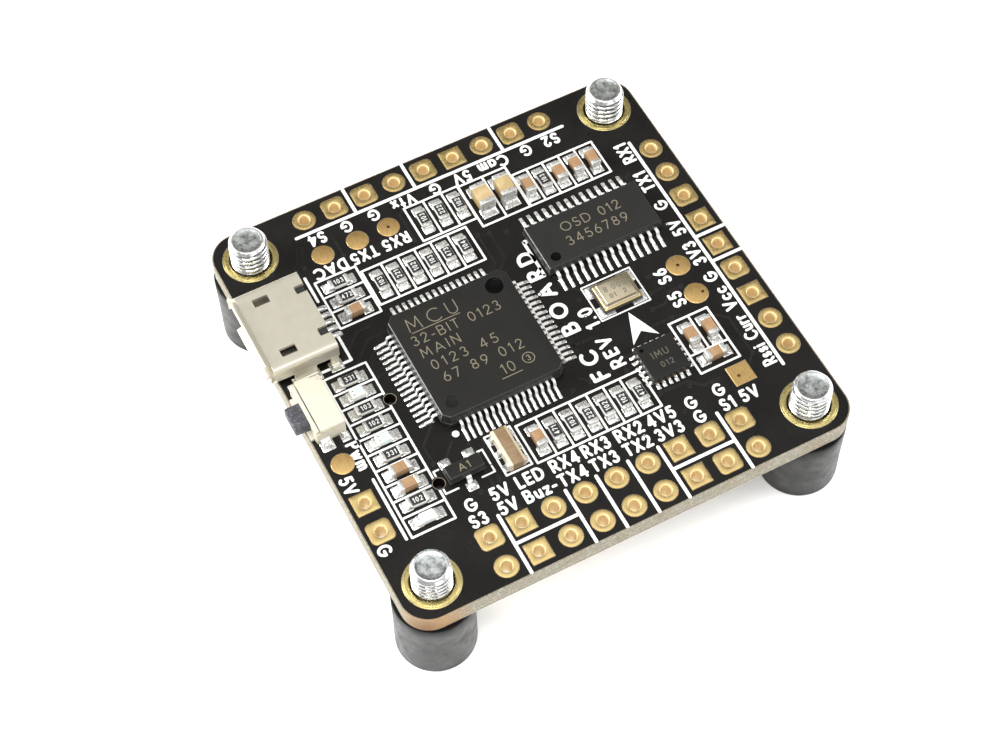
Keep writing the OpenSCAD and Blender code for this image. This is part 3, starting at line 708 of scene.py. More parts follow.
a = add_mat("led_lens", M("led_milky_resin", (.84, .87, .79), .22, spec=.5, sub=.5, trans=.15))
a.tint(a.noise(.28, 3), (.72, .8, .7), .45, .7, .7)
a.bump(a.noise(.1, 2), 4)

a = add_mat("led_green", M("led_green_mark", (.50, .66, .57), .4, spec=.5))
a.tint(a.noise(.08, 3), (.5, .66, .56), .45, .7, .7)
a.bump(a.noise(.05, 2), 1)

# Near-black walls for the peg holes and the via bores: painted shade inside the holes.
a = add_mat("hole_shade", M("hole_wall_painted_shade", (.011, .006, .003), .8, spec=.1))
a.tint(a.noise(.15, 3), (.035, .017, .007), .5, .75, .6)
a.bump(a.noise(.08, 3), 5)

a = add_mat("white_resin", M("led_diffuse_white", (.86, .87, .84), .3, spec=.5, sub=.5))
a.tint(a.noise(.2, 3), (.78, .8, .76), .45, .75, .7)
a.bump(a.noise(.1, 2), 3)


# ---------------------------------------------------------------- building blocks
ZT, ZB = 8.6, 7.0          # board faces
MZ = ZT + .03              # top of the solder mask
P, E = 2.54, 16.62


def weld(g, tol=1e-5):
    q = np.round(g.v / tol).astype(np.int64)
    _, first, inv = np.unique(q, axis=0, return_index=True, return_inverse=True)
    inv = inv.ravel()
    f, m = [], []
    for t, k in zip(g.f, g.m):
        u = [int(inv[i]) for i in t]
        u = [a for i, a in enumerate(u) if a != u[i - 1]]
        if len(set(u)) >= 3:
            f.append(tuple(u))
            m.append(k)
    return G(g.v[first], f, m)


def piece(name, g, mats, body="board", nodes=(), ang=38):
    if name in NODES:
        name += "_detail"
    me = bpy.data.meshes.new(name)
    me.from_pydata((g.v * 1e-3).tolist(), [], g.f)
    for k in mats:
        me.materials.append(MATS[k])
    me.polygons.foreach_set("material_index", np.array(g.m, dtype=np.int32))
    bm = bmesh.new()
    bm.from_mesh(me)
    bmesh.ops.dissolve_degenerate(bm, dist=2e-7, edges=bm.edges)
    bm.to_mesh(me)
    bm.free()
    me.shade_smooth()
    me.set_sharp_from_angle(angle=math.radians(ang))
    ob = bpy.data.objects.new(name, me)
    bpy.context.scene.collection.objects.link(ob)
    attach(ob, body)
    if nodes:
        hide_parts(*nodes)
    return ob


def skin(x0, x1, y0, y1, r, levels, m=0, n=4, cap0=True, cap1=True):
    """A block with rounded corners, as a stack of (inset, z) levels."""
    return loops([flat(rrect(x0 + i, x1 - i, y0 + i, y1 - i, max(r - i, .004), n), z) for i, z in levels], m, cap0, cap1)


def skinp(sharp, r, levels, m=0, n=3, cap0=True, cap1=True):
    return loops([flat(roundpoly(inset(sharp, i), max(r - i, .004), n), z) for i, z in levels], m, cap0, cap1)


def rnd(b, z0, z1, k=3, bot=True, top=True, i0=0.0):
    """Levels of a block whose bottom and top edges are rounded by b."""
    out = []
    if bot:
        out += [(i0 + b * (1 - math.sin(j / k * math.pi / 2)), z0 + b * (1 - math.cos(j / k * math.pi / 2))) for j in range(k + 1)]
    else:
        out += [(i0, z0)]
    if top:
        out += [(i0 + b * (1 - math.cos(j / k * math.pi / 2)), z1 - b * (1 - math.sin(j / k * math.pi / 2))) for j in range(k + 1)]
    else:
        out += [(i0, z1)]
    return out


def block(x0, x1, y0, y1, z0, z1, r=.06, b=.03, m=0, n=4, k=2, bot=True, top=True):
    return skin(x0, x1, y0, y1, r, rnd(b, z0, z1, k, bot, top), m, n)


def face_up(poly, holes, z, m=0):
    v, tris = area([poly], holes)
    f = []
    for t in tris:
        a = sum(v[t[i]][0] * v[t[(i + 1) % len(t)]][1] - v[t[(i + 1) % len(t)]][0] * v[t[i]][1] for i in range(len(t)))
        f.append(tuple(t) if a > 0 else tuple(t[::-1]))
    return G([(p[0], p[1], z) for p in v], f, [m] * len(f))


def polar(poly, n, cx=0, cy=0):
    """Points of an outline at n equal angles round its middle."""
    out = []
    k = len(poly)
    for i in range(n):
        a = 2 * math.pi * i / n
        dx, dy = math.cos(a), math.sin(a)
        best = 0
        for j in range(k):
            (ax, ay), (bx, by) = poly[j - 1], poly[j]
            ex, ey = bx - ax, by - ay
            det = dx * -ey + dy * ex
            if abs(det) < 1e-12:
                continue
            t = (ax * -ey + ay * ex) / det
            u = (dx * ay - dy * ax) / det
            if -1e-7 <= u <= 1 + 1e-7 and t > best:
                best = t
        out.append((cx + dx * best, cy + dy * best))
    return out


def scaled(pts, s):
    return [(x * s, y * s) for x, y in pts]


def rail(pts, w, t, c=.02, m=0):
    """A strip of width w (along Y) and thickness t that follows points in the X, Z plane."""
    pts = [Vector(p) for p in pts]
    rings = []
    hw, ht = w / 2, t / 2
    c = min(c, hw * .45, ht * .45)
    prof = [(hw, ht - c), (hw - c, ht), (-hw + c, ht), (-hw, ht - c), (-hw, -ht + c), (-hw + c, -ht), (hw - c, -ht), (hw, -ht + c)]
    for i, p in enumerate(pts):
        d1 = (p - pts[i - 1]).normalized() if i else None
        d2 = (pts[i + 1] - p).normalized() if i < len(pts) - 1 else None
        d = ((d1 or d2) + (d2 or d1)).normalized()
        n = Vector((-d.y, d.x))
        k = 1 / max(.5, n.dot(Vector((-(d1 or d2).y, (d1 or d2).x))))
        rings.append([(p.x + n.x * b * k, a, p.y + n.y * b * k) for a, b in prof])
    return loops(rings, m)


def curve(pts, r, n=3):
    """Open line in the plane with its corners rounded."""
    out = [tuple(pts[0])]
    for i in range(1, len(pts) - 1):
        p, a, b = Vector(pts[i]), Vector(pts[i - 1]), Vector(pts[i + 1])
        u, w = (a - p), (b - p)
        d = min(r, u.length * .45, w.length * .45)
        s, e = p + u.normalized() * d, p + w.normalized() * d
        for j in range(n + 1):
            t = j / n
            out.append(tuple(s * (1 - t) ** 2 + p * (2 * t * (1 - t)) + e * t * t))
    out.append(tuple(pts[-1]))
    return out


def gull(d0, h, reach, w, t, foot=.5, m=0):
    """A gull-wing lead that leaves the body along +X at height h and stands on z = 0."""
    k = reach - foot
    pts = curve([(d0, h), (k - .15, h), (k - .02, t / 2 + .03), (reach, t / 2 + .012)], .09, 3)
    return rail(pts, w, t, .02, m)


def bent(strips, holes, fn, half):
    """A sheet of thickness 2*half: flat strips less the holes, bent into place by fn(s, x, offset)."""
    v, tris = area(strips, holes)
    g = _slab(v, tris, -half, half)
    return G([fn(p[0], p[1], p[2]) for p in g.v], g.f, g.m)


class Path:
    """A closed or open outline in the plane, walked by its length, with the outward side on its right."""

    def __init__(s, pts, closed=True):
        s.p = [Vector(p) for p in pts] + ([Vector(pts[0])] if closed else [])
        q = [s.p[0]]
        for p in s.p[1:]:
            if (p - q[-1]).length > 1e-6:
                q.append(p)
        s.p = q
        s.closed = closed
        s.l = [0]
        for a, b in zip(s.p, s.p[1:]):
            s.l.append(s.l[-1] + (b - a).length)
        s.len = s.l[-1]
        s.n = []
        k = len(s.p)
        for i in range(k):
            d1 = (s.p[i] - s.p[i - 1]).normalized() if i else ((s.p[-1] - s.p[-2]).normalized() if closed else None)
            d2 = (s.p[i + 1] - s.p[i]).normalized() if i < k - 1 else ((s.p[1] - s.p[0]).normalized() if closed else None)
            d = ((d1 or d2) + (d2 or d1)).normalized()
            s.n.append(Vector((d.y, -d.x)))

    def at(s, u):
        u = min(max(u, 0), s.len)
        for i in range(len(s.l) - 1):
            if u <= s.l[i + 1] + 1e-9:
                t = (u - s.l[i]) / (s.l[i + 1] - s.l[i])
                return s.p[i].lerp(s.p[i + 1], t), s.n[i].lerp(s.n[i + 1], t).normalized()
        return s.p[-1], s.n[-1]

    def near(s, x, y):
        """The length at which the line passes closest to a point."""
        best = (1e9, 0)
        for i in range(len(s.l) - 1):
            d = s.p[i + 1] - s.p[i]
            t = min(1, max(0, (Vector((x, y)) - s.p[i]).dot(d) / d.length_squared))
            q = s.p[i] + d * t
            best = min(best, ((q - Vector((x, y))).length, s.l[i] + t * d.length))
        return best[1]


# ---------------------------------------------------------------- board: mask, pads, rings
round_at = [(i * P, E) for i in (-4, -1, 2, 4)] + [(E, i * P) for i in (4, 3, -3, -4)] + [(i * P, P - E) for i in (-2, -1, 0, 1)] + [(i * P, -E) for i in (-4, -2, -1, 0, 1, 4)]
square_at = [(P, E), (E, P), (E, 0), (E, -2 * P), (-3 * P, P - E), (2 * P, P - E), (-3 * P, -E), (2 * P, -E), (-16.7, -7.56)]
rounded_at = [(i * P, E) for i in (-3, -2, 0, 3)] + [(E, 2 * P), (E, -P)] + [(i * P, P - E) for i in (-4, 3, 4)] + [(3 * P, -E), (-16.7, -10.10)]
studs = {"front_left": (-15.25, -15.25), "front_right": (15.25, -15.25), "rear_left": (-15.25, 15.25), "rear_right": (15.25, 15.25)}
probe = [(-10.25, 13.04, .85), (-7.36, 13.04, .85), (-4.75, 13.04, .85), (-16.7, -3.98, .85), (12.96, -.36, .9), (12.9, -3.17, .9)]
pegs = [(-11.36, -.72), (-11.36, -8.6)]

n_pad = 48
o_round = circle(.88, n_pad)
o_square = polar(rrect(-.86, .86, -.86, .86, .03, 2), n_pad)
o_rounded = polar(rrect(-.9, .9, -.9, .9, .4, 6), n_pad)


def mask_holes(extra=True):
    h = []
    for (x, y) in round_at: h.append(circle(.915, 40, x, y))
    for (x, y) in square_at: h.append(rrect(x - .895, x + .895, y - .895, y + .895, .06, 3))
    for (x, y) in rounded_at: h.append(rrect(x - .935, x + .935, y - .935, y + .935, .43, 6))
    for (x, y) in studs.values(): h.append(circle(2.14, 72, x, y))
    for (x, y) in pegs: h.append(circle(.5, 32, x, y))
    if extra:
        for (x, y, r) in probe: h.append(circle(r + .04, 40, x, y))
        h.append(rrect(11.34, 13.12, -11.63, -9.85, .08, 3))
    return h


def mask_sheet(z0, z1, extra):
    outer = rrect(-17.9, 17.9, -17.9, 17.9, 2.1, 12)
    g = slab([outer], mask_holes(extra), z0, z1)
    return g


piece("solder_mask_top", mask_sheet(ZT, MZ, True), ["soldermask"])
piece("solder_mask_underside", mask_sheet(ZB - .03, ZB, False), ["soldermask"])
fr = NODES["pcb"]
fr.data.materials.clear()
fr.data.materials.append(MATS["fr4"])


def pad(outline, x, y):
    """A plated-through pad: flat land on both faces, rounded mouth, bore with a slight waist."""
    c = circle(1, n_pad)
    up = []
    for s, z in ((1.0, ZT + .0), (1.0, ZT + .036), (.988, ZT + .047), (.97, ZT + .05)):
        up.append(flat(scaled(outline, s), z))
    mouth = [(.52, .05), (.495, .046), (.47, .034), (.448, .012), (.43, -.03), (.416, -.09), (.408, -.17), (.403, -.3), (.4, -.5), (.4, -.8)]
    for r, z in mouth:
        up.append(flat(scaled(c, r), ZT + z))
    dn = [flat([(p[0], p[1]) for p in r], ZT + ZB - r[0][2]) for r in up]
    rings = dn[::-1]
    # from the underside land, through the bore, to the upper land would turn the surface inside out, so go outside first
    allr = up + rings
    g = loops(allr + [allr[0]], 0, False, False)
    inner = [i >= 5 for i in range(len(up))]
    inner = inner + inner[::-1] + [False]
    n_up = len(up)
    # the outer rim faces take the darker gold: painted shade along the pad edge
    rim_k = (0, 1, 2, 2 * n_up - 2, 2 * n_up - 3, 2 * n_up - 4, 2 * n_up - 1)
    g.m = [1 if inner[k] and inner[k + 1] else 2 if k in rim_k else 0 for k in range(len(allr)) for _ in range(n_pad)]
    return g.at(x, y)


piece("round_pads", total(pad(o_round, x, y) for x, y in round_at), ["gold", "bore", "gold_edge_shaded"], nodes=["round_pads"])
piece("square_pads", total(pad(o_square, x, y) for x, y in square_at), ["gold", "bore", "gold_edge_shaded"], nodes=["square_pads"])
piece("rounded_pads", total(pad(o_rounded, x, y) for x, y in rounded_at), ["gold", "bore", "gold_edge_shaded"], nodes=["rounded_pads"])

half_ring = [(2.1, 0), (2.1, .036), (2.088, .047), (2.07, .05), (1.965, .05), (1.955, .062), (1.94, .066), (1.69, .066), (1.655, .058), (1.625, .03), (1.607, -.03), (1.6, -.12)]
ring_prof = [(r, ZT + z) for r, z in half_ring] + [(r, ZB - z) for r, z in half_ring[::-1]]
piece("mount_hole_rings", total(ring_lathe(ring_prof, 96).at(x, y) for x, y in studs.values()), ["gold_ring"], nodes=["mount_rings"])


def flat_pad(r, via=None):
    lv = [(r, ZT), (r, ZT + .036), (r - .012, ZT + .047), (r - .03, ZT + .05)]
    g = lathe([(a, z) for a, z in lv], 48, 0, True, via is None)
    if via:
        vx, vy, vr = via
        o = circle(r - .03, 48)
        h = circle(vr, 20, vx, vy)
        g = g + face_up(o, [h], ZT + .05)
        g = g + loops([flat(h, ZT + .05), flat(circle(vr * .8, 20, vx, vy), ZT + .02), flat(circle(vr * .75, 20, vx, vy), ZT - .2)], 1, False, True)
        g = weld(g)
    return g


tp = []
for (x, y, r), via in zip(probe, (None, None, (0, 0, .12), None, (-.02, .02, .13), (.5, -.1, .12))):
    tp.append(flat_pad(r, via).at(x, y))
v = circle(.12, 20, 11.97, -10.87)
sq = rrect(11.38 + .03, 13.08 - .03, -11.59 + .03, -9.89 - .03, .03, 3)
g = skin(11.38, 13.08, -11.59, -9.89, .04, [(0, ZT), (0, ZT + .036), (.012, ZT + .047), (.03, ZT + .05)], 0, 3, True, False)
tp.append(g + face_up(rrect(11.38 + .03, 13.08 - .03, -11.59 + .03, -9.89 - .03, .01, 3), [v], ZT + .05) + loops([flat(v, ZT + .05), flat(circle(.09, 20, 11.97, -10.87), ZT - .15)], 1, False, True))
piece("probe_pads", total(tp), ["gold_dull", "hole_shade"], nodes=["test_pads"])

piece("peg_hole_walls", total(ring_lathe([(.43, ZB + .02), (.446, ZB + .02), (.446, ZT + .004), (.43, ZT + .004)], 32).at(x, y) for x, y in pegs), ["hole_shade"])

# ---------------------------------------------------------------- legend
SZ0, SZ1 = MZ - .008, MZ + .016


def W(lines, hw=.125):
    return strokes(lines, hw, SZ0, SZ1, 0, holes=[circle(.56, 32, x, y) for x, y in pegs])


def rect(x0, x1, y0, y1):
    return [(x0, y0), (x1, y0), (x1, y1), (x0, y1), (x0, y0)]


sl = []
sl.append(W([[(-11.4, 15.32), (11.55, 15.32)]] + [[(x, 15.32), (x, 17.85)] for x in (-6.33, -1.28, 6.37)]
            + [[(15.37, 11.4), (15.37, -11.5)], [(15.37, 1.25), (17.85, 1.25)], [(15.37, -1.25), (17.85, -1.25)]]
            + [[(x, -12.85), (x, -17.85)] for x in (-8.85, 8.95)] + [[(x, -13.3), (x, -17.85)] for x in (-3.73, -1.25, 1.33, 3.79)]
            + [[(-8.85, -15.38), (-3.73, -15.38)], [(3.79, -15.38), (8.95, -15.38)]], .13))
sl.append(W([[(-12.38, 9.35), (-12.38, 11.7)], [(-12.38, 5.8), (-12.38, 3.6), (-14.7, 3.6)], [(-15.35, -6.15), (-15.35, -11.5)]], .11))
sl.append(W([rect(-11.92, -8.56, 6.4, 10.95), [(-11.92, 9.4), (-8.56, 9.4)], [(-11.92, 7.96), (-8.56, 7.96)],
             rect(-8.36, .44, 6.92, 10.28)] + [[(x, 6.92), (x, 10.28)] for x in (-6.76, -5.36, -3.96, -2.6, -1.16)]
            + [rect(-2.96, 1.6, 10.6, 14.0)] + [[(x, 10.6), (x, 14.0)] for x in (-1.36, .2)]
            + [rect(1.66, 5.72, 9.67, 13.9), [(3.7, 9.67), (3.7, 13.9)]]
            + [rect(5.8, 12.8, 9.67, 12.93)] + [[(x, 9.67), (x, 12.93)] for x in (7.07, 8.42, 9.82, 11.2)]
            + [rect(-4.4, 5.77, -10.44, -7.03)] + [[(x, -10.44), (x, -7.03)] for x in (-2.82, -1.42, -.07, 1.33, 2.73, 4.13)]
            + [rect(9.67, 12.93, -7.78, -4.63), [(11.3, -7.78), (11.3, -4.63)], rect(9.64, 12.93, -9.44, -7.78)]
            + [rect(-14.96, -11.56, -11.6, 2.92)] + [[(-14.96, y), (-11.56, y)] for y in (1.35, -.05, -1.45, -2.9, -4.3, -5.7, -7.15, -8.5, -9.95)], .085))
sl.append(W([[(3.66, 3.6), (3.66, 6.9)]], .12))
sl.append(slab([circle(.2, 24, 3.8, 6.9)], (), SZ0, SZ1))
sl.append(slab([circle(.27, 24, -8.48, -5.56)], (), SZ0, SZ1))
sl.append(W([[(-11.3, -8.9), (-11.3, -7.6), (-10.9, -7.6)], [(-7.8, -7.6), (-7.4, -7.6), (-7.4, -8.9)], [(-11.3, -9.1), (-11.3, -9.6), (-10.3, -9.6)], [(-8.4, -9.6), (-7.4, -9.6), (-7.4, -9.1)]], .07))
sl.append(W([rect(5.48, 9.6, -2.08, 1.2)], .06))
sl.append(W([rect(-6.83, -4.78, -10.3, -6.8)], .075))
sl.append(slab([[(7.57, -2.3), (6.5, -5.0), (7.6, -4.15), (8.68, -5.0)]], (), SZ0, SZ1))
# panel lettering beside the pads: supply, ground and signal names of the generic kind
H, R = 1.1, .105
row1 = [("G", -10.15), ("5V", -7.87), ("LED", -5.47), ("RX4", -2.67), ("RX3", -.13), ("RX2", 2.59), ("4V5", 5.2), ("G", 7.73), ("G", 10.05)]
row2 = [("S3", -10.2), ("5V", -7.87), ("Buz-", -5.3), ("TX4", -2.67), ("TX3", -.13), ("TX2", 2.59), ("3V3", 5.2), ("G", 7.73), ("S1", 10.05), ("5V", 11.87)]
row3 = [("S4", -10), ("G", -7.55), ("G", -5.25), ("Vtx", -2.67), ("G", 0), ("5V", 2.35), ("Cam", 5.07), ("G", 7.92), ("S2", 10.13)]
row4 = [("DAC", -10.27), ("TX5", -7.47), ("RX5", -4.8)]
row5 = [("RX1", 10.67), ("TX1", 7.6), ("G", 5.07), ("5V", 2.67), ("3V3", 0), ("G", -2.4), ("Vcc", -4.62)]
LB = dict(gap=.11, squeeze=.84)
for s, x in row1: sl.append(text(s, x, -11.2, H, 0, R, SZ0, SZ1, **LB))
for s, x in row2: sl.append(text(s, x, -12.5, H, 0, R, SZ0, SZ1, **LB))
for s, x in row3: sl.append(text(s, x, 14.55, H, 180, R, SZ0, SZ1, **LB))
for s, x in row4: sl.append(text(s, x, 11.55, H, 180, R, SZ0, SZ1, **LB))
for s, y in row5: sl.append(text(s, 14.58, y, H, 90, R, SZ0, SZ1, **LB))
for s, y in (("Curr", -7.52), ("Rssi", -10.2)): sl.append(text(s, 14.58, y, H, 90, R * .92, SZ0, SZ1, gap=.08, squeeze=.72))
for s, x, y in (("S6", 11.4, -.7), ("S5", 11.35, -3.0)): sl.append(text(s, x, y, H, 90, R, SZ0, SZ1, **LB))
for s, x, y in (("Pwm", -15.4, -3.9), ("5V", -17.1, -5.8), ("G", -17.1, -11.6)): sl.append(text(s, x, y, H, -90, R, SZ0, SZ1, **LB))
sl.append(text("FC BOARD", 3.07, -.22, 1.42, 90, .145, SZ0, SZ1, gap=.42, squeeze=1))
sl.append(text("REV 1.0", 4.72, -3.3, 1.2, 90, .115, SZ0, SZ1, gap=.2, squeeze=.94))
piece("legend_top", total(sl), ["silk"])

# ---------------------------------------------------------------- traces and vias
def trace(pts, w, m=0, z0=MZ - .006, z1=MZ + .010):
    return strokes([pts], w / 2, z0, z1, m, n=5)


def via(x, y, r=.22, zz=MZ, m=0):
    """A tented via: a low domed collar with a dimple in the middle."""
    return lathe([(r, zz - .006), (r, zz + .006), (r - .03, zz + .016), (r - .08, zz + .018), (.07, zz + .012), (.05, zz - .002)], 20, m).at(x, y)


tr = []
runs = [
    ([(9.3, -2.9), (10.4, -2.9), (11.2, -2.1), (12.2, -2.1)], .2), ([(9.9, -1.6), (10.9, -1.6), (12.1, -.4)], .2), ([(5.0, -5.6), (6.9, -5.6), (8.3, -4.2), (10.6, -4.2), (11.3, -4.9)], .2),
    ([(9.7, 1.6), (11.2, 1.6), (12.9, 3.3), (14.0, 3.3)], .2), ([(5.4, 1.0), (4.3, 2.0), (4.3, 3.2)], .18), ([(2.6, -3.0), (4.2, -3.0), (5.0, -3.8), (5.0, -6.7)], .18),
    ([(-9.9, 5.6), (-11.0, 5.6), (-12.6, 4.0)], .2), ([(-9.2, 4.6), (-10.6, 4.6), (-12.0, 3.2)], .2), ([(-9.6, -4.0), (-11.0, -5.4), (-11.0, -7.0)], .2), ([(-9.0, -6.0), (-10.0, -7.0), (-10.0, -7.7)], .2),
    ([(-8.0, -6.6), (-8.0, -10.6), (-7.2, -11.4), (-7.2, -13.2)], .22), ([(-6.2, -6.4), (-7.4, -7.6), (-7.4, -10.3)], .18), ([(5.9, -11.3), (5.9, -12.9)], .3), ([(3.4, -11.6), (3.4, -13.2)], .25),
    ([(6.2, -9.5), (8.4, -9.5), (9.3, -10.4), (10.6, -10.4)], .3), ([(1.0, 5.6), (1.8, 6.4), (1.8, 8.9)], .2), ([(.2, 5.6), (.9, 6.3), (.9, 9.2)], .18), ([(-8.9, 12.3), (-8.9, 14.0)], .22),
    ([(-3.5, 11.0), (-3.5, 13.6), (-2.6, 14.5)], .2), ([(13.1, 5.6), (13.6, 6.1), (13.6, 8.6), (14.0, 9.0)], .2), ([(12.0, 7.9), (12.9, 8.8), (13.4, 8.8)], .18), ([(9.6, 8.9), (9.6, 9.5)], .25),
    ([(-12.0, 12.6), (-12.8, 12.6), (-13.4, 12.0), (-14.6, 12.0)], .2), ([(-16.0, -1.9), (-16.0, -2.8)], .25), ([(13.2, -5.5), (13.9, -6.2), (13.9, -9.6), (13.2, -10.3)], .2), ([(4.4, -6.2), (2.2, -6.2), (1.6, -5.6)], .18),
]
for pts, w in runs:
    tr.append(trace(pts, w))
for (cx, cy), a0 in (((-15.25, -15.25), 12), ((-15.25, 15.25), -78)):
    for r in (3.55, 3.95):
        tr.append(trace([(cx + r * math.cos(math.radians(a0 + 66 * i / 22)), cy + r * math.sin(math.radians(a0 + 66 * i / 22))) for i in range(23)], .06))
for i in range(5):
    tr.append(trace([(1.9 + .0, -3.6 + .5 * i), (2.35 + .12 * i, -3.6 + .5 * i), (2.6 + .12 * i, -3.35 + .5 * i)], .14))
    tr.append(trace([(-10.1, 3.4 - .5 * i), (-10.7 - .12 * i, 3.4 - .5 * i), (-11.2 - .12 * i, 2.9 - .5 * i)], .14))
for x, y in [(9.3, -2.9), (9.9, -1.6), (10.5, -.2), (11.0, -4.9), (12.2, -2.1), (10.2, -4.2), (12.4, 1.9), (4.3, 3.2), (-11.0, -7.0), (-10.0, -7.8), (-12.7, 4.0), (2.2, -6.2), (1.8, 8.9), (.9, 9.2), (-8.9, 12.3), (13.6, 8.6),
             (5.0, -6.6), (6.2, -9.5), (8.4, -9.9), (3.4, -11.9), (-7.4, -10.3), (14.0, 3.3), (-3.5, 11.0), (13.9, -9.6), (9.6, 8.7), (-12.0, 12.6), (7.0, -11.6), (-9.0, -10.6), (4.6, -1.2), (4.9, .4), (2.5, 2.2), (3.0, 8.4), (-14.4, 13.2), (0.7, -6.3), (-5.9, -6.9)]:
    tr.append(via(x, y))
piece("copper_traces_top", total(tr), ["trace"])

# ---------------------------------------------------------------- lands and solder
lands, fillets = [], []


def land(x0, x1, y0, y1, z=ZT, mir=False, r=.08):
    if x1 < x0: x0, x1 = x1, x0
    if y1 < y0: y0, y1 = y1, y0
    g = skin(x0, x1, y0, y1, r, [(0, 0), (0, .038), (.018, .052), (.06, .058)], 0, 3)
    return g.at(0, 0, ZB, mirror=True) if mir else g.at(0, 0, z)


def fillet(x, y, rz, xi, xo, w, h, xt, mir=False):
    """Solder along +X from the land's outer end xo up to height h at the terminal face xt. w is the land's width."""
    lv = []
    for k in range(6):
        t = k / 5
        z = .03 + (h - .03) * t
        c = (1 - t) ** 2.2
        jit = rng.uniform(-.012, .012)
        hw = w / 2 * (.80 + .20 * c) + (0 if k in (0, 5) else jit)
        xe = xt + (xo - xt) * c + .02
        lv.append(flat(rrect(xi, max(xe, xi + .06), -hw, hw, min(.12, hw * .5, (xe - xi) * .4), 4), z))
    g = loops(lv, 0)
    g = g.at(0, 0, 0, rz)
    return g.at(x, y, ZB, mirror=True) if mir else g.at(x, y, ZT)


def chip(x, y, rz, kind, code=None, mir=False):
    """A two-terminal chip part. Returns the body, its ends and its marks."""
    L, Wd, Hh, cap = {"r": (1.6, .8, .45, .3), "c": (1.6, .8, .8, .35), "b": (2.0, 1.25, 1.25, .4)}[kind]
    z0 = .06
    jx, jy, jr = rng.uniform(-.03, .03), rng.uniform(-.02, .02), rng.uniform(-1.6, 1.6)
    body, ends, marks = [], [], []
    hl, hw = L / 2, Wd / 2
    if kind == "r":
        body.append(block(-hl + .05, hl - .05, -hw + .01, hw - .01, z0, Hh - .05, .02, .015, 0, 2))
        body.append(skin(-hl + cap * .86, hl - cap * .86, -hw + .03, hw - .03, .06, [(0, Hh - .06), (0, Hh - .035), (.02, Hh - .018), (.06, Hh - .01)], 1, 3))
        if code:
            marks.append(text(code, 0, 0, .42, 90 if False else 0, .032, Hh - .013, Hh - .003, 2, gap=.2, squeeze=.8, n=4))
    else:
        body.append(block(-hl + cap * .8, hl - cap * .8, -hw + .02, hw - .02, z0 + .01, Hh - .02, .05, .03, 0, 3))
    for s in (-1, 1):
        a, b = sorted((s * hl, s * (hl - cap)))
        e = skin(a, b, -hw, hw, .07, rnd(.05 if kind != "r" else .035, z0 - .02, Hh, 3), 0, 3)
        # the inner edge of the plating is uneven
        v = e.v
        inner = np.abs(v[:, 0] - s * (hl - cap)) < .075
        v[inner, 0] += s * .022 * np.sin(v[inner, 1] * 9 + x * 3) - s * .01 * np.sin(v[inner, 1] * 23 + y)
        ends.append(e)
    tf = lambda g: g.at(jx, jy, 0, jr).at(0, 0, 0, rz)
    put = (lambda g: tf(g).at(x, y, ZB, mirror=True)) if mir else (lambda g: tf(g).at(x, y, ZT))
    for s in (0, 180):
        xi, xo, w = {"r": (.5, 1.33, .9), "c": (.5, 1.33, .95), "b": (.58, 1.6, 1.35)}[kind]
        l = skin(xi, xo, -w / 2, w / 2, .1, [(0, 0), (0, .038), (.018, .052), (.06, .058)], 0, 3).at(0, 0, 0, s + rz)
        lands.append(l.at(x, y, ZB, mirror=True) if mir else l.at(x, y, ZT))
        fillets.append(fillet(x, y, s + rz, hl - .1, xo - .05, min(w - .06, Wd + .02), Hh * {"r": .8, "c": .6, "b": .55}[kind], hl, mir))
    return total(put(g) for g in body), total(put(g) for g in ends), (total(put(g) for g in marks) if marks else None)


res = [(-10.3, 10.1, 0), (-10.3, 8.65, 0)] + [(-7.5 + 1.4 * i, 8.6, 90) for i in range(6)] + [(-2.1, 12.35, 90), (-.6, 12.35, 90), (.9, 12.35, 90), (7.75, 11.3, 90)] \
    + [(-2.1 + 1.39 * i, -8.77, 90) for i in range(6)] + [(-13.3, y, 0) for y in (2, -.75, -2.2, -5, -9.2)]
caps = [(-10.3, 7.15, 0), (6.35, 11.3, 90), (9.1, 11.3, 90), (10.55, 11.3, 90), (11.95, 11.3, 90), (-3.5, -8.77, 90), (10.55, -6.35, 90), (12.1, -6.35, 90), (11.3, -8.55, 0), (-13.3, -6.45, 0), (-13.3, -7.85, 0)]
bulk = [(2.7, 11.8, 90), (4.6, 11.8, 90)]
res_u = [(4.5, -3, 90), (5.9, -3, 90), (3.2, 8.6, 0), (3.2, 10, 0)]
cap_u = [(11.6, -1.2, 90), (13, -1.2, 90), (12, 4.2, 0), (12, 6.2, 0), (-2.5, 8.4, 0)]
codes = ["103", "472", "103", "221", "102", "103", "473", "104", "103", "222", "102", "103", "471", "103", "223", "102", "102", "472", "331", "103", "102", "331", "102"]

rb, re_, rm, cb, ce, bb, be = [], [], [], [], [], [], []
for i, (x, y, r) in enumerate(res):
    b, e, m = chip(x, y, r, "r", codes[i % len(codes)])
    rb.append(b); re_.append(e); rm.append(m)
for i, (x, y, r) in enumerate(res_u):
    b, e, m = chip(x, y, r, "r", codes[(i * 5 + 2) % len(codes)], True)
    rb.append(b); re_.append(e); rm.append(m)
for x, y, r in caps:
    b, e, _ = chip(x, y, r, "c"); cb.append(b); ce.append(e)
for x, y, r in cap_u:
    b, e, _ = chip(x, y, r, "c", None, True); cb.append(b); ce.append(e)
for x, y, r in bulk:
    b, e, _ = chip(x, y, r, "b"); bb.append(b); be.append(e)
piece("resistor_bodies", total(rb + rm), ["r_white", "r_black", "r_mark"], nodes=["resistor_bodies"])
piece("resistor_ends", total(re_), ["endcap"], nodes=["resistor_terminals"])
piece("capacitor_bodies", total(cb), ["c_brown"], nodes=["capacitor_bodies"])
piece("capacitor_ends", total(ce), ["endcap"], nodes=["capacitor_terminals"])
piece("bulk_capacitor_bodies", total(bb), ["c_tan"], nodes=["bulk_capacitor_bodies"])
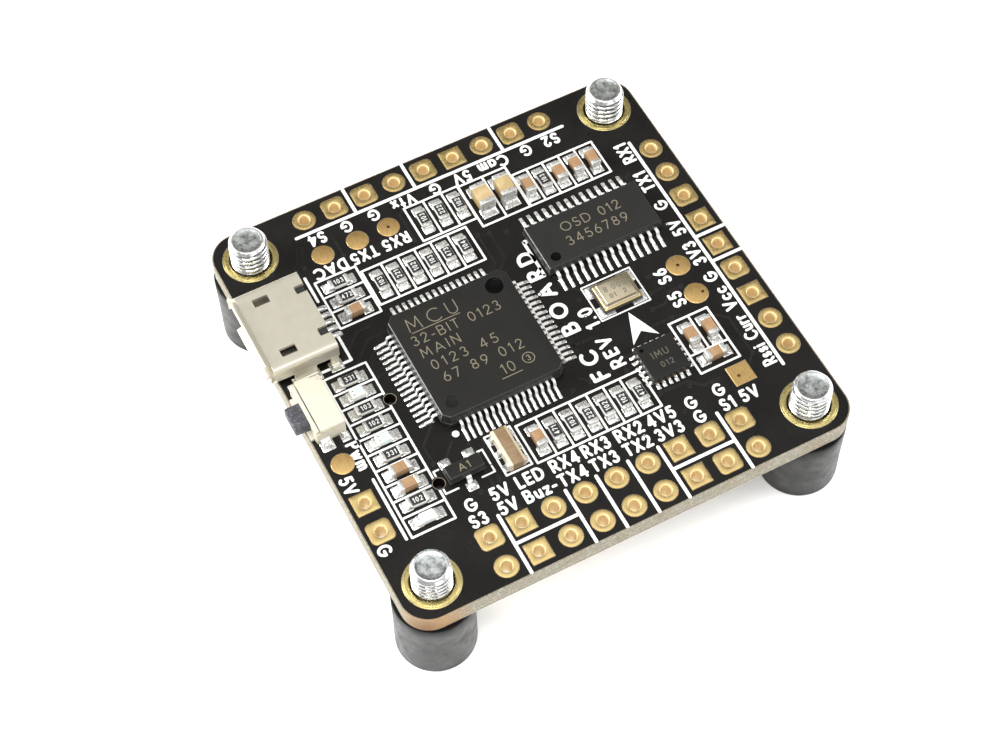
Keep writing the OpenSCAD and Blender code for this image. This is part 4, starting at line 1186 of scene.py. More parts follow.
piece("bulk_capacitor_ends", total(be), ["endcap"], nodes=["bulk_capacitor_terminals"])


# ---------------------------------------------------------------- packaged chips
def leads_round(cx, cy, sides, n, pitch, w, h, reach, t, d0, foot, land_in, land_out, mir=False):
    """Gull-wing leads on the named sides, and the lands and solder they stand on."""
    out = []
    for rz in sides:
        for i in range(n):
            o = (i - (n - 1) / 2) * pitch
            g = gull(d0, h, reach, w, t, foot).at(0, o + rng.uniform(-.008, .008), .055).at(0, 0, 0, rz)
            out.append(g.at(cx, cy, ZT))
            l = skin(land_in, land_out, o - w * .53, o + w * .53, .05, [(0, 0), (0, .038), (.015, .052), (.04, .058)], 0, 3).at(0, 0, 0, rz)
            lands.append(l.at(cx, cy, ZT))
            s = loops([flat(rrect(a, b, o - q, o + q, .05, 3), z) for a, b, q, z in ((reach - foot + .02, land_out - .03, w * .56, .05), (reach - foot + .05, land_out - .09, w * .54, .09), (reach - foot + .10, reach + .06, w * .5, .13), (reach - foot + .16, reach + .0, w * .42, .165))], 0).at(0, 0, 0, rz)
            fillets.append(s.at(cx, cy, ZT))
    return total(out)


def package(poly, r, z0, zp, z1, draft, marks, top_round=.065):
    """Moulded package with draft, a parting line at zp, rounded top edge and round moulded marks (x, y, r, depth)."""
    b = draft
    lv = [(b + .03, z0), (b, z0 + .02), (.012, zp - .02), (-.006, zp - .01), (-.006, zp + .01), (.012, zp + .02), (b, z1 - top_round)]
    lv += [(b + top_round * (1 - math.cos(a)), z1 - top_round * (1 - math.sin(a))) for a in (math.pi / 6, math.pi / 3, math.pi / 2)]
    rings = [flat(roundpoly(inset(poly, i), max(r - i, .02), 3), z) for i, z in lv]
    g = loops(rings, 0, True, False)
    for t in range(len(g.m)):
        pass
    nring = len(rings[0])
    ms = []
    for k in range(len(rings) - 1):
        ms += [1] * nring
    g.m = ms + [1]
    top = [(p[0], p[1]) for p in rings[-1]]
    holes = [circle(q[2], 40, q[0], q[1]) for q in marks]
    g = g + face_up(top, holes, z1, 0)
    for x, y, q, d in marks:
        c = lambda s: circle(s, 40, x, y)
        g = g + loops([flat(c(q), z1), flat(c(q - .015), z1 - .012), flat(c(q - .03), z1 - d * .8), flat(c(q - .07), z1 - d)], 2, False, True)
    return weld(g)


CH = .55
mcu_poly = [(5, 5 - CH), (5 - CH, 5), (-5 + CH, 5), (-5, 5 - CH), (-5, -5 + CH), (-5 + CH, -5), (5 - CH, -5), (5, -5 + CH)]
MX, MY = -4.1, -.1
mt = 1.5


def rim(g, z0, x0, m):
    """Gives the round-over on the -X side of a package its own lighter, glossier material: a painted highlight along
    that edge.
    """
    for i, f in enumerate(g.f):
        zs = [g.v[k][2] for k in f]
        if min(zs) > z0 and max(zs) - min(zs) > .001 and max(g.v[k][0] for k in f) < x0:
            g.m[i] = m


mcu = package(mcu_poly, .08, .1, .72, mt, .11, [(3.55, 3.7, .7, .12), (-3.75, -3.75, .5, .06)])
rim(mcu, mt - .068, -4.5, 4)
for i, f in enumerate(mcu.f):
    if mcu.m[i] == 2 and mcu.v[f[0]][0] < 0:
        mcu.m[i] = 5
mk = []
LZ0, LZ1 = mt - .004, mt + .003
for s, x, y, h, gp in (("MCU", -1.75, 3.5, 1.2, .5), ("32-BIT 0123", -.45, 2.1, .86, .3), ("MAIN", -2.35, .9, .86, .36), ("0123 45", -1.0, -.35, .86, .42), ("67 89 012", -.15, -1.65, .86, .36), ("10", 1.15, -3.05, .9, .25)):
    mk.append(text(s, x, y, h, 0, .038, LZ0, LZ1, 3, gap=gp, n=4))
mk.append(slab([circle(.48, 32, 2.85, -3.0)], [circle(.41, 32, 2.85, -3.0)], LZ0, LZ1, 3))
mk.append(text("3", 2.85, -3.0, .5, 0, .036, LZ0, LZ1, 3, n=4))
mk.append(strokes([[(.35, -3.75), (1.95, -3.75)], [(-3.7, 2.78), (.2, 2.78)]], .035, LZ0, LZ1, 3, n=4))
piece("mcu_package", (mcu + total(mk)).at(MX, MY, ZT), ["epoxy", "epoxy_side", "dimple", "laser", "epoxy_rim_highlight", "dimple_dull"], nodes=["mcu_package"])
ml = leads_round(MX, MY, (0, 90, 180, 270), 16, .5, .22, .66, 6.0, .13, 4.85, .55, 5.25, 6.42)
piece("mcu_leads", ml, ["tin"], nodes=["mcu_leads"])

OX, OY = 8.7, 5.3
osd_poly = [(4.85, 2.2), (-4.85, 2.2), (-4.85, -2.2), (4.85, -2.2)]
osd = package(osd_poly, .06, .1, .52, 1.1, .08, [(4.85 - OX + 0, 4.0 - OY + 0, .4, .06)])
rim(osd, .62, -4.7, 4)
mk = []
for s, x, y, h, gp in (("OSD 012", .22, .82, .86, .26), ("3456789", .15, -.5, .86, .30)):
    mk.append(text(s, x, y, h, 0, .04, 1.1 - .004, 1.1 + .003, 3, gap=gp, n=4))
piece("osd_package", (osd + total(mk)).at(OX, OY, ZT), ["epoxy_b", "epoxy_side", "dimple", "laser", "epoxy_rim_highlight"], nodes=["osd_package"])
ol = leads_round(OX, OY, (90, 270), 14, .65, .25, .47, 3.2, .13, 2.1, .5, 2.6, 3.75)
piece("osd_leads", ol, ["tin"], nodes=["osd_leads"])

# transistor
tx, ty = -9.35, -8.65
sot_poly = [(1.45, .65), (-1.45, .65), (-1.45, -.65), (1.45, -.65)]
sot = package(sot_poly, .05, .1, .5, 1.0, .08, [])
sot = sot + text("A1", 0, 0, .62, 0, .04, .996, 1.003, 3, n=4)
piece("transistor_package", sot.at(tx, ty, ZT), ["epoxy", "epoxy_side", "dimple", "laser"], nodes=["transistor_body"])
sl_ = []
for x, rz in ((-.95, 90), (.95, 90), (0, -90)):
    sl_.append(gull(.55, .45, 1.25, .4, .13, .38).at(0, 0, .055).at(0, 0, 0, rz).at(tx + x, ty, ZT))
    lands.append(skin(.85, 1.62, -.42, .42, .1, [(0, 0), (0, .038), (.018, .052), (.06, .058)], 0, 3).at(0, 0, 0, rz).at(tx + x, ty, ZT))
    fillets.append(loops([flat(rrect(a, b, -q, q, .08, 3), z) for a, b, q, z in ((.88, 1.58, .36, .05), (.88, 1.48, .33, .12), (.9, 1.36, .28, .19), (.95, 1.22, .2, .24))], 0).at(0, 0, 0, rz).at(tx + x, ty, ZT))
piece("transistor_leads", total(sl_), ["tin"], nodes=["transistor_leads"])

# motion sensor: flat no-lead package
ix, iy = 7.6, -7.2
imu_poly = [(1.55, 1.55), (-1.55, 1.55), (-1.55, -1.55), (1.55, -1.55)]
imu = package(imu_poly, .04, .05, .3, .8, .015, [(-1.1, 1.12, .17, .03)], .03)
mk = [text("IMU", 0, .35, .6, 0, .04, .796, .803, 3, n=4), text("012", .1, -.6, .5, 0, .036, .796, .803, 3, n=4)]
piece("imu_package", (imu + total(mk)).at(ix, iy, ZT), ["epoxy", "epoxy_side", "dimple", "laser_dim"], nodes=["imu_package"])
ip = []
for rz in (0, 90, 180, 270):
    for i in range(6):
        o = (i - 2.5) * .5
        ip.append(block(1.25, 1.56, o - .12, o + .12, .03, .24, .03, .015, 0, 2).at(0, 0, 0, rz).at(ix, iy, ZT))
        lands.append(skin(1.3, 1.98, o - .14, o + .14, .05, [(0, 0), (0, .038), (.015, .052), (.04, .058)], 0, 3).at(0, 0, 0, rz).at(ix, iy, ZT))
        fillets.append(loops([flat(rrect(1.5, b, o - q, o + q, .04, 3), z) for b, q, z in ((1.93, .12, .05), (1.76, .115, .09), (1.66, .1, .15), (1.6, .08, .2))], 0).at(0, 0, 0, rz).at(ix, iy, ZT))
piece("imu_pads", total(ip), ["contact"], nodes=["imu_pads"])

# crystal: ceramic boat, gold seal ring, metal lid
qx, qy = 7.55, -.45
boat = skin(-1.6, 1.6, -1.25, 1.25, .12, rnd(.02, .05, .42, 2), 0, 4)
rim = ring = loops([flat(rrect(-1.56, 1.56, -1.21, 1.21, .14, 5), .42), flat(rrect(-1.56, 1.56, -1.21, 1.21, .14, 5), .47), flat(rrect(-1.5, 1.5, -1.15, 1.15, .14, 5), .5)], 1, True, True)
piece("crystal_boat", (boat + rim).at(qx, qy, ZT), ["alumina", "xtal_rim"], nodes=["crystal_base"])
lid = skin(-1.5, 1.5, -1.15, 1.15, .24, [(0, .49), (0, .54), (.03, .57), (.1, .585), (.16, .6), (.2, .66), (.22, .74), (.25, .78), (.3, .8)], 0, 5)
mk = [text("8.000", 0, .28, .5, 0, .04, .797, .803, 1, n=4), text("01", -.5, -.4, .42, 0, .04, .797, .803, 1, n=4), text("2", .5, -.4, .42, 0, .04, .797, .803, 1, n=4)]
piece("crystal_lid", (lid + total(mk)).at(qx, qy, ZT), ["xtal_lid", "xtal_mark"], nodes=["crystal_lid"])
for sx in (-1, 1):
    for sy in (-1, 1):
        a, b = sorted((sx * .75, sx * 1.95)); c, d = sorted((sy * .45, sy * 1.5))
        lands.append(land(qx + a, qx + b, qy + c, qy + d))
        fillets.append(skin(*sorted((qx + sx * 1.5, qx + sx * 1.9)), *sorted((qy + sy * .5, qy + sy * 1.42)), .1, [(0, ZT + .05), (.03, ZT + .1), (.1, ZT + .17), (.17, ZT + .2)], 0, 3))

# ceramic resonator
rx, ry = -5.8, -8.55
rbody = skin(-.65, .65, -1.6, 1.6, .06, [(.02, .05), (0, .07), (0, .34), (.015, .36), (.015, .38), (0, .4), (0, .76), (.015, .79), (.04, .8)], 0, 3)
piece("resonator_body", rbody.at(rx, ry, ZT), ["res_ceramic"], nodes=["resonator_body"])
rt = []
for i, o in enumerate((-1.2, 0, 1.2)):
    for s in (-1, 1):
        a, b = sorted((s * .45, s * .76))
        rt.append(block(a, b, o - .2, o + .2, .02, .6, .05, .03, 0, 3).at(rx, ry, ZT))
        a, b = sorted((s * .4, s * 1.05))
        lands.append(land(rx + a, rx + b, ry + o - .3, ry + o + .3))
        fillets.append(loops([flat(rrect(*sorted((s * .6, s * b)), o - q, o + q, .06, 3), z) for b, q, z in ((1.0, .26, .05), (.9, .24, .12), (.83, .22, .25), (.79, .2, .4))], 0).at(rx, ry, ZT))
piece("resonator_ends", total(rt), ["endcap"], nodes=["resonator_terminals"])

# status lights
lb, ll, lt = [], [], []
for i, y in enumerate((.65, -3.6, -10.7)):
    cx = -13.3
    lb.append(block(-.55, .55, -.4, .4, .03, .25, .04, .02, 0, 3).at(cx, y, ZT))
    lens = skin(-.55, .55, -.38, .38, .08, [(0, .25), (0, .42), (.03, .49), (.09, .535), (.18, .55)], 0 if i < 2 else 1, 4)
    ll.append(lens.at(cx, y, ZT))
    if i < 2:
        ll.append(skin(-.12, .3, -.16, .16, .06, [(0, .548), (.0, .556), (.02, .56)], 2, 3).at(cx, y, ZT))
        for dx, dy in ((-.3, .17), (-.3, -.17)):
            ll.append(lathe([(.05, .545), (.05, .556), (.03, .56)], 12, 3).at(cx + dx, y + dy, ZT))
    for s in (-1, 1):
        a, b = sorted((s * .52, s * .8))
        lt.append(block(a, b, -.4, .4, .02, .27, .05, .03, 0, 3).at(cx, y, ZT))
        a, b = sorted((s * .45, s * 1.33))
        lands.append(land(cx + a, cx + b, y - .45, y + .45))
        fillets.append(fillet(cx, y, 0 if s > 0 else 180, .7, 1.28, .84, .26, .8))
piece("led_carriers", total(lb), ["led_body"], nodes=["led_bases"])
piece("led_lenses", total(ll), ["led_lens", "white_resin", "led_green", "dimple"], nodes=["led_lenses"])
piece("led_ends", total(lt), ["endcap"], nodes=["led_terminals"])

# ---------------------------------------------------------------- micro-USB port
UY = 7.35


def shell_path(pts, rad, closed=True):
    return Path(roundpoly(pts, rad, 6) if closed else pts, closed)


# outline in the (y, z) plane, seen from the mouth, walked so that the outside is on the right
up = Path(roundpoly([(-3.7 + .125, 2.6 - .125), (3.7 - .125, 2.6 - .125), (3.7 - .125, 1.3), (3.05 - .1, .15 + .125), (-3.05 + .1, .15 + .125), (-3.7 + .125, 1.3)][::-1], [.2, .2, .3, .3, .2, .2][::-1], 6), True)
ss = sorted({round(u, 5) for u in [l for l in up.l] + [up.len * i / 60 for i in range(61)]})
X0, X1 = -18.2, -13.2
xs = [-18.7, -18.6, -18.5, -18.4, -18.3, -18.2, -17.2, -16.0, -15, -14, -13.2]
s_top, s_bot = up.near(0, 2.475), up.near(0, .275)
s_left, s_right = up.near(-3.575, 1.9), up.near(3.575, 1.9)
sgn_top = 1 if up.at(s_top + .5)[0].x > up.at(s_top)[0].x else -1
sgn_bot = 1 if up.at(s_bot + .5)[0].x > up.at(s_bot)[0].x else -1
strips = []
for a, b in zip(ss, ss[1:]):
    for c, d in zip(xs, xs[1:]):
        strips.append([(a, c), (b, c), (b, d), (a, d)])


def spot(x0, x1, y0, y1, top=True, r=.08):
    c, sg = (s_top, sgn_top) if top else (s_bot, sgn_bot)
    a, b = sorted((c + sg * y0, c + sg * y1))
    return rrect(a, b, x0, x1, r, 4)


cuts = []
for y in (-2.4, 2.4):
    cuts.append(spot(-17.2, -15.96, y - .35, y + .35, True, .06))
for y in (-2.04, 2.04):
    cuts.append(spot(-14.0, -13.0, y - .35, y + .35, True, .1))
# between the four lips the front edge is cut back to the shell proper
lip_top, lip_bot, lip_side = 3.0, 2.45, .42
edges_keep = sorted([(s_top - lip_top, s_top + lip_top), (s_bot - lip_bot, s_bot + lip_bot)])
corner = []
L = up.len
marks_ = []
for c, h in ((s_top, lip_top), (s_bot, lip_bot), (s_left, lip_side), (s_right, lip_side)):
    marks_.append(((c - h) % L, (c + h) % L))
# walk the outline and cut every run that belongs to no lip
flags = []
N = 720


def in_lip(u):
    for a, b in marks_:
        if (a <= b and a <= u <= b) or (a > b and (u >= a or u <= b)):
            return True
    return False


k = 0
while k < N:
    if not in_lip(k / N * L):
        j = k
        while j < N and not in_lip(j / N * L):
            j += 1
        a, b = k / N * L, j / N * L
        cuts.append([(a, -18.8), (b, -18.8), (b, -18.25), (a, -18.25)])
        k = j
    else:
        k += 1


def usb_map(s, x, o):
    p, n = up.at(s)
    if x < X0:
        t = (X0 - x) / .5
        amt = .3 if abs(p.y - 2.475) < .3 else (.22 if p.y < .5 else .1)
        p = p + n * (amt * t * t)
        tilt = .5 * t
        return (x + o * tilt, UY + p.x + n.x * o * (1 - .25 * t), ZT + p.y + n.y * o * (1 - .25 * t))
    return (x, UY + p.x + n.x * o, ZT + p.y + n.y * o)


ush = weld(bent(strips, cuts, usb_map, .125))
legs = []
for s in (-1, 1):
    for x0, x1, yo in ((-16.8, -15.0, 3.8), (-13.9, -13.25, 3.7)):
        pts = curve([(0, 1.1), (0, .16), (.32, .09), (yo - 3.45 + .35, .09)], .18, 4)
        g = rail(pts, x1 - x0, .2, .03)
        g = g.at(0, 0, 0, 90 * s)
        legs.append(g.at((x0 + x1) / 2, UY + s * 3.5, ZT))
        lands.append(land(x0 - .2, x1 + .2, *sorted((UY + s * 3.2, UY + s * (yo + .45)))))
        fillets.append(skin(x0 - .12, x1 + .12, *sorted((UY + s * 3.55, UY + s * (yo + .33))), .15, [(0, ZT + .05), (.05, ZT + .1), (.14, ZT + .19), (.24, ZT + .25)], 0, 4))
piece("usb_shell", total([ush] + legs), ["nickel"], nodes=["usb_shell"], ang=40)
ins = total([
    skinp([(-15.2, UY - 2.7), (-13.25, UY - 2.7), (-13.25, UY + 2.7), (-15.2, UY + 2.7)], .15, [(.05, ZT + .45), (0, ZT + .5), (0, ZT + 2.2), (.06, ZT + 2.3)], 0, 3),
    skinp([(-17.6, UY - 1.9), (-17.45, UY - 2.0), (-15.1, UY - 2.0), (-15.1, UY + 2.0), (-17.45, UY + 2.0), (-17.6, UY + 1.9)], .02, [(.03, ZT + 1.42), (0, ZT + 1.46), (0, ZT + 1.9), (.04, ZT + 1.95)], 0, 2)]
    + [block(-17.55, -15.1, UY + (i - 1.5) * .65 - .14, UY + (i - 1.5) * .65 + .14, ZT + 1.34, ZT + 1.46, .02, .02, 0, 2) for i in range(4)])
piece("usb_insulator", ins, ["lcp"], nodes=["usb_insulator"])
uc = []
for i in range(5):
    y = UY + (i - 2) * .65
    pts = curve([(-17.42, 1.41), (-17.3, 1.36), (-14.6, 1.36), (-13.15, 1.36), (-12.95, .12), (-12.32, .12)], .14, 3)
    uc.append(rail([(p[0], p[1]) for p in pts], .3 if i else .3, .12, .02).at(0, y, ZT))
    lands.append(land(-13.0, -11.95, y - .2, y + .2))
    fillets.append(loops([flat(rrect(a, b, y - q, y + q, .08, 4), ZT + z) for a, b, q, z in ((-12.98, -12.0, .19, .05), (-12.95, -12.08, .2, .12), (-12.9, -12.2, .17, .2), (-12.8, -12.34, .1, .25))], 0))
piece("usb_contacts", total(uc), ["tin", "contact"], nodes=["usb_contacts"])

# ---------------------------------------------------------------- side push button
BY, PY = .58, .4
by0, by1 = BY - 2.325, BY + 2.325


def at_z(g, dz):
    return G(g.v + np.array([0, 0, dz]), g.f, g.m)


foot_print = roundpoly([(-17.6, by0), (-15.3, by0), (-15.3, by1), (-17.6, by1)], .08, 3)
chan = [(-18.2, PY - 1.06), (-17.24, PY - 1.06), (-17.24, BY - 1.9), (-15.65, BY - 1.9), (-15.65, BY + 1.9), (-17.24, BY + 1.9), (-17.24, PY + 1.06), (-18.2, PY + 1.06)]
b0 = skin(-17.6, -15.3, by0, by1, .08, [(.03, ZT + .0), (0, ZT + .04), (0, ZT + .3)], 0, 3)
b1 = slab([foot_print], [chan], ZT + .3, ZT + 1.27)
step = skin(-17.9, -17.45, BY - 1.9, BY + 1.9, .08, [(.02, ZT + .0), (0, ZT + .03), (0, ZT + .25), (.03, ZT + .29), (.07, ZT + .3)], 0, 3)
rib = [skin(-17.66, -17.5, *r, .04, [(0, ZT + .3), (0, ZT + 1.2), (.03, ZT + 1.25)], 0, 2) for r in ((by0 + .12, by0 + .42), (by1 - .42, by1 - .12))]
piece("button_body", total([b0, b1, step] + rib), ["ivory"], nodes=["button_base"])
cv = [(-17.23, by0), (-15.3, by0), (-15.3, by1 - .62), (-15.66, by1 - .62), (-15.66, by1 - .24), (-16.1, by1 - .24), (-16.1, by1), (-17.23, by1)]
lip = [(-17.6, by0 + .1), (-17.31, by0 + .1), (-17.31, by1 - .1), (-17.6, by1 - .1)]


def lvl(poly, r, levels):
    return loops([flat(roundpoly(inset(poly, i), max(.01, r - i * .3), 4), z) for i, z in levels], 0)


cover = lvl(cv, .1, [(.03, ZT + 1.285), (0, ZT + 1.31), (0, ZT + 1.58), (.015, ZT + 1.625), (.045, ZT + 1.645), (.08, ZT + 1.65)]) \
    + lvl(lip, .08, [(.02, ZT + 1.25), (0, ZT + 1.28), (0, ZT + 1.53), (.015, ZT + 1.575), (.045, ZT + 1.595), (.08, ZT + 1.6)])
clip = [skin(-17.05, -16.45, *sorted((by + s * -.05, by + s * .05)), .02, [(0, ZT + .9), (0, ZT + 1.5)], 0, 2) for s, by in ((-1, by0), (1, by1))]
piece("button_cover", total([cover] + clip), ["ivory"], nodes=["button_cover"])
bt = []
for s in (-1, 1):
    ye = BY + s * 2.325
    for x0, x1, o, h in ((-17.35, -16.65, .3, .5), (-15.75, -15.35, .15, .35)):
        pts = curve([(0, h - .05), (o * .6, h - .06), (o - .06, .1), (o + .02, .06)] if o < .2 else [(-.05, h - .06), (o * .55, h - .07), (o - .1, .12), (o, .07)], .12, 3)
        bt.append(rail(pts, x1 - x0, .1, .02).at(0, 0, 0, 90 * s).at((x0 + x1) / 2, ye, ZT))
        lands.append(land(x0 - .15, x1 + .15, *sorted((ye - s * .1, ye + s * (o + .55)))))
        fillets.append(loops([flat(rrect(x0 - .08 + i, x1 + .08 - i, *sorted((ye - s * .02, ye + s * (o + w))), .1, 4), ZT + z) for i, w, z in ((0, .42, .05), (.03, .3, .12), (.08, .16, .24), (.14, .04, .36), (.2, -.04, .42 if o > .2 else .38))], 0))
piece("button_terminals", total(bt), ["tin"], nodes=["button_terminals"])
pl = skin(-18.75, -17.2, PY - 1.0, PY + 1.0, .16, [(.05, ZT + .36), (.01, ZT + .39), (0, ZT + .44), (0, ZT + 1.17), (.015, ZT + 1.215), (.05, ZT + 1.25), (.11, ZT + 1.26)], 0, 5)
pl = pl + skin(-17.23, -16.95, PY - 1.35, PY + 1.35, .05, rnd(.03, ZT + .36, ZT + 1.26, 2), 0, 3)
grooves = [skin(-18.62, -17.85, PY + o - .05, PY + o + .05, .04, [(0, ZT + 1.25), (.0, ZT + 1.262), (.02, ZT + 1.268)], 0, 3) for o in (-.62, -.31, 0, .31, .62)]
piece("button_plunger", total([pl] + grooves), ["grey_plastic"], body="button", nodes=["button_plunger"])
arc_pts = [(-16.68 + 2 - 2 * math.cos(a), PY + 2 * math.sin(a)) for a in [math.radians(-30 + 60 * i / 16) for i in range(17)]]
dome = Path(arc_pts, False)
dr = []
for i in range(17):
    p, n = dome.p[i], dome.n[i]
    q = [(.0, .37), (.0, 1.25), (.07, 1.25), (.07, .37)]
    dr.append([(p.x - n.x * 0 + abs(n.x) * o, p.y + 0 * o, ZT + z) for o, z in q])
piece("button_snap_spring", loops(dr, 0).flipped() if False else loops(dr, 0), ["spring"], nodes=["button_dome"])

# ---------------------------------------------------------------- card socket on the underside
sx0, sx1, sy0, sy1, sz = -15.6, -1.0, -11.66, 2.34, 5.15
sp = Path(roundpoly([(sy0 + .1, 6.96), (sy0 + .1, sz + .1), (sy1 - .1, sz + .1), (sy1 - .1, 6.96)], [0, .3, .3, 0], 6)[5:-5], False)
us = sorted({round(u, 5) for u in sp.l + [sp.len * i / 40 for i in range(41)]})
xs = [sx0 + (sx1 - sx0) * i / 12 for i in range(13)]
strips = [[(a, c), (b, c), (b, d), (a, d)] for a, b in zip(us, us[1:]) for c, d in zip(xs, xs[1:])]
umid = sp.near(0, sz + .1)
U = lambda y: sp.near(y, sz + .1)
cuts = [[(U(-3.66) + 2.4 * math.cos(2 * math.pi * i / 40), sx0 + 2.4 * math.sin(2 * math.pi * i / 40)) for i in range(40)], rrect(U(-7.5), U(.5), -7.6, -5.6, .3, 5)]


def punched(x0, x1, ya, yb, w=.14):
    """A three-sided slot that frees a spring tongue."""
    return [rrect(U(ya) - w, U(ya), x0, x1, .05, 3), rrect(U(yb), U(yb) + w, x0, x1, .05, 3), rrect(U(ya) - w, U(yb) + w, x1, x1 + w, .05, 3)]


for y in (-9.2, -.6):
    cuts += punched(-13.0, -9.6, y - .35, y + .35)
for x in (-14.6, -8.2, -2.6):
    for u in (sp.near(sy0 + .1, 6.2), sp.near(sy1 - .1, 6.2)):
        cuts.append(rrect(u - .22, u + .22, x - .55, x + .55, .1, 4))
for y in (-9.8, -7, -4.4, -1.8):
    cuts.append(rrect(U(y) - .35, U(y) + .35, -2.5, -1.8, .1, 4))


def sd_map(s, x, o):
    p, n = sp.at(s)
    lift = 0.0
    return (x, p.x + n.x * o, p.y + n.y * o + lift)


shell = weld(bent(strips, cuts, sd_map, .1))
tabs = []
for x in (-14.9, -2.0):
    for s, y in ((-1, sy0), (1, sy1)):
        pts = curve([(0, -1.0), (0, -.1), (.22, -.07), (.75, -.07)], .15, 3)
        g = rail([(a, b) for a, b in pts], .9, .18, .03).at(0, 0, 0, 90 * s).at(x, y - s * .1, ZB)
        tabs.append(g)
        lands.append(land(x - .65, x + .65, *sorted((y - s * .15, y + s * 1.0)), mir=True))
        fillets.append(skin(x - .55, x + .55, *sorted((y + s * .05, y + s * .85)), .15, [(.24, ZB - .27), (.13, ZB - .2), (.04, ZB - .11), (0, ZB - .05)], 0, 4))
ribs = [skin(-13.4, -3.4, y - .2, y + .2, .18, [(.07, sz - .0), (.02, sz + .012), (0, sz + .03)], 0, 5) for y in ()]
piece("card_socket_shell", total([shell] + tabs + ribs), ["nickel"], nodes=["microsd_shell"], ang=40)
cb_ = [slab([rrect(sx0 + .2, sx1 - .1, sy0 + .2, sy1 - .2, .2, 4)], [rrect(-12.4, -4.2, -7.7 + 1.1 * i - .48, -7.7 + 1.1 * i + .48 - .26, .1, 3) for i in range(0)], 6.75, 7.0),
       block(-3.0, -1.1, sy0 + .21, sy1 - .21, sz + .21, 6.76, .1, .05, 0, 3), block(sx0 + .2, -11, sy0 + .21, sy0 + 2.2, sz + .21, 6.76, .15, .06, 0, 3)]
for y in (-.72, -8.6):
    cb_.append(lathe([(.42, 6.8), (.42, 7.5), (.38, 7.58), (.3, 7.62)], 28).at(-11.36, y))
for i in range(9):
    cb_.append(block(-9.5, -3.0, -8.45 + 1.1 * i - .22, -8.45 + 1.1 * i + .22, 6.5, 6.76, .05, .03, 0, 2))
piece("card_socket_base", total(cb_), ["lcp"], nodes=["microsd_base"])
sc = []
for i in range(8):
    y = -7.9 + 1.1 * i
    pts = curve([(-.34, -.09), (-.86, -.09), (-.95, -.55), (-4.4, -.57), (-6.6, -.6), (-7.3, -.78), (-8.0, -.56)], .16, 3)
    sc.append(rail(pts, .4, .12, .03).at(0, y, ZB))
    lands.append(land(-.95, .25, y - .26, y + .26, mir=True))
    fillets.append(loops([flat(rrect(a, b, y - q, y + q, .08, 3), ZB - z) for a, b, q, z in ((-.75, -.38, .16, .22), (-.8, -.2, .2, .17), (-.85, .05, .23, .1), (-.88, .16, .24, .05))], 0))
piece("card_contacts", total(sc), ["contact"], nodes=["microsd_contacts"])
sd_sl = block(-10.6, -6.4, sy0 + .35, sy0 + 1.75, sz + .3, 6.65, .2, .08, 0, 4) + block(-7.2, -6.4, sy0 + 1.6, sy0 + 2.9, sz + .3, 6.25, .15, .06, 0, 4)
heart = [skin(-9.9 + .9 * i, -9.5 + .9 * i, sy0 + .6, sy0 + 1.5, .15, [(.08, sz + .28), (.02, sz + .29), (0, sz + .31)], 0, 4) for i in range(3)]
piece("card_slider", total([sd_sl] + heart), ["ivory"], body="card_slider", nodes=["microsd_slider"])

# barometer, regulator and their neighbours on the underside
bo = skin(7.75, 10.25, -4, -2, .1, rnd(.02, 0, .3, 2), 0, 3).at(0, 0, ZB, mirror=True)
piece("barometer_base", bo, ["alumina"], nodes=["barometer_base"])
ring = rrect(9 - 1.15, 9 + 1.15, -3 - .9, -3 + .9, .2, 5)
lv = [(0, .3), (0, .82), (.02, .88), (.06, .93), (.12, .95)]
bl = loops([flat(rrect(9 - 1.15 + i, 9 + 1.15 - i, -3.9 + i, -2.1 - i, max(.03, .2 - i), 5), z) for i, z in lv], 0, True, False)
topo = rrect(9 - 1.15 + .12, 9 + 1.15 - .12, -3.9 + .12, -2.1 - .12, .08, 5)
vh = circle(.15, 24, 9.6, -2.6)
bl = weld(bl + face_up(topo, [vh], .95) + loops([flat(vh, .95), flat(circle(.13, 24, 9.6, -2.6), .93), flat(circle(.13, 24, 9.6, -2.6), .78)], 0, False, True))
piece("barometer_lid", bl.at(0, 0, ZB, mirror=True), ["nickel"], nodes=["barometer_lid"])
rg = package([(1.45, .8), (-1.45, .8), (-1.45, -.8), (1.45, -.8)], .05, .1, .52, 1.1, .08, [(-1.05, -.45, .14, .04)]) + text("REG", .15, 0, .55, 0, .04, 1.096, 1.103, 3, n=4)
piece("regulator_package", rg.at(8.05, 5.5, ZB, mirror=True), ["epoxy", "epoxy_side", "dimple", "laser"], nodes=["regulator_body"])
rl = []
for x, rz in ((-.95, 90), (0, 90), (.95, 90), (-.95, -90), (.95, -90)):
    rl.append(gull(.7, .5, 1.4, .35, .13, .42).at(0, 0, .05).at(0, 0, 0, rz).at(8.05 + x, 5.5, ZB, mirror=True))
    lands.append(skin(1.0, 1.8, -.3, .3, .1, [(0, 0), (0, .038), (.018, .052), (.06, .058)], 0, 3).at(0, 0, 0, rz).at(8.05 + x, 5.5, ZB, mirror=True))
piece("regulator_leads", total(rl), ["tin"], nodes=["regulator_leads"])

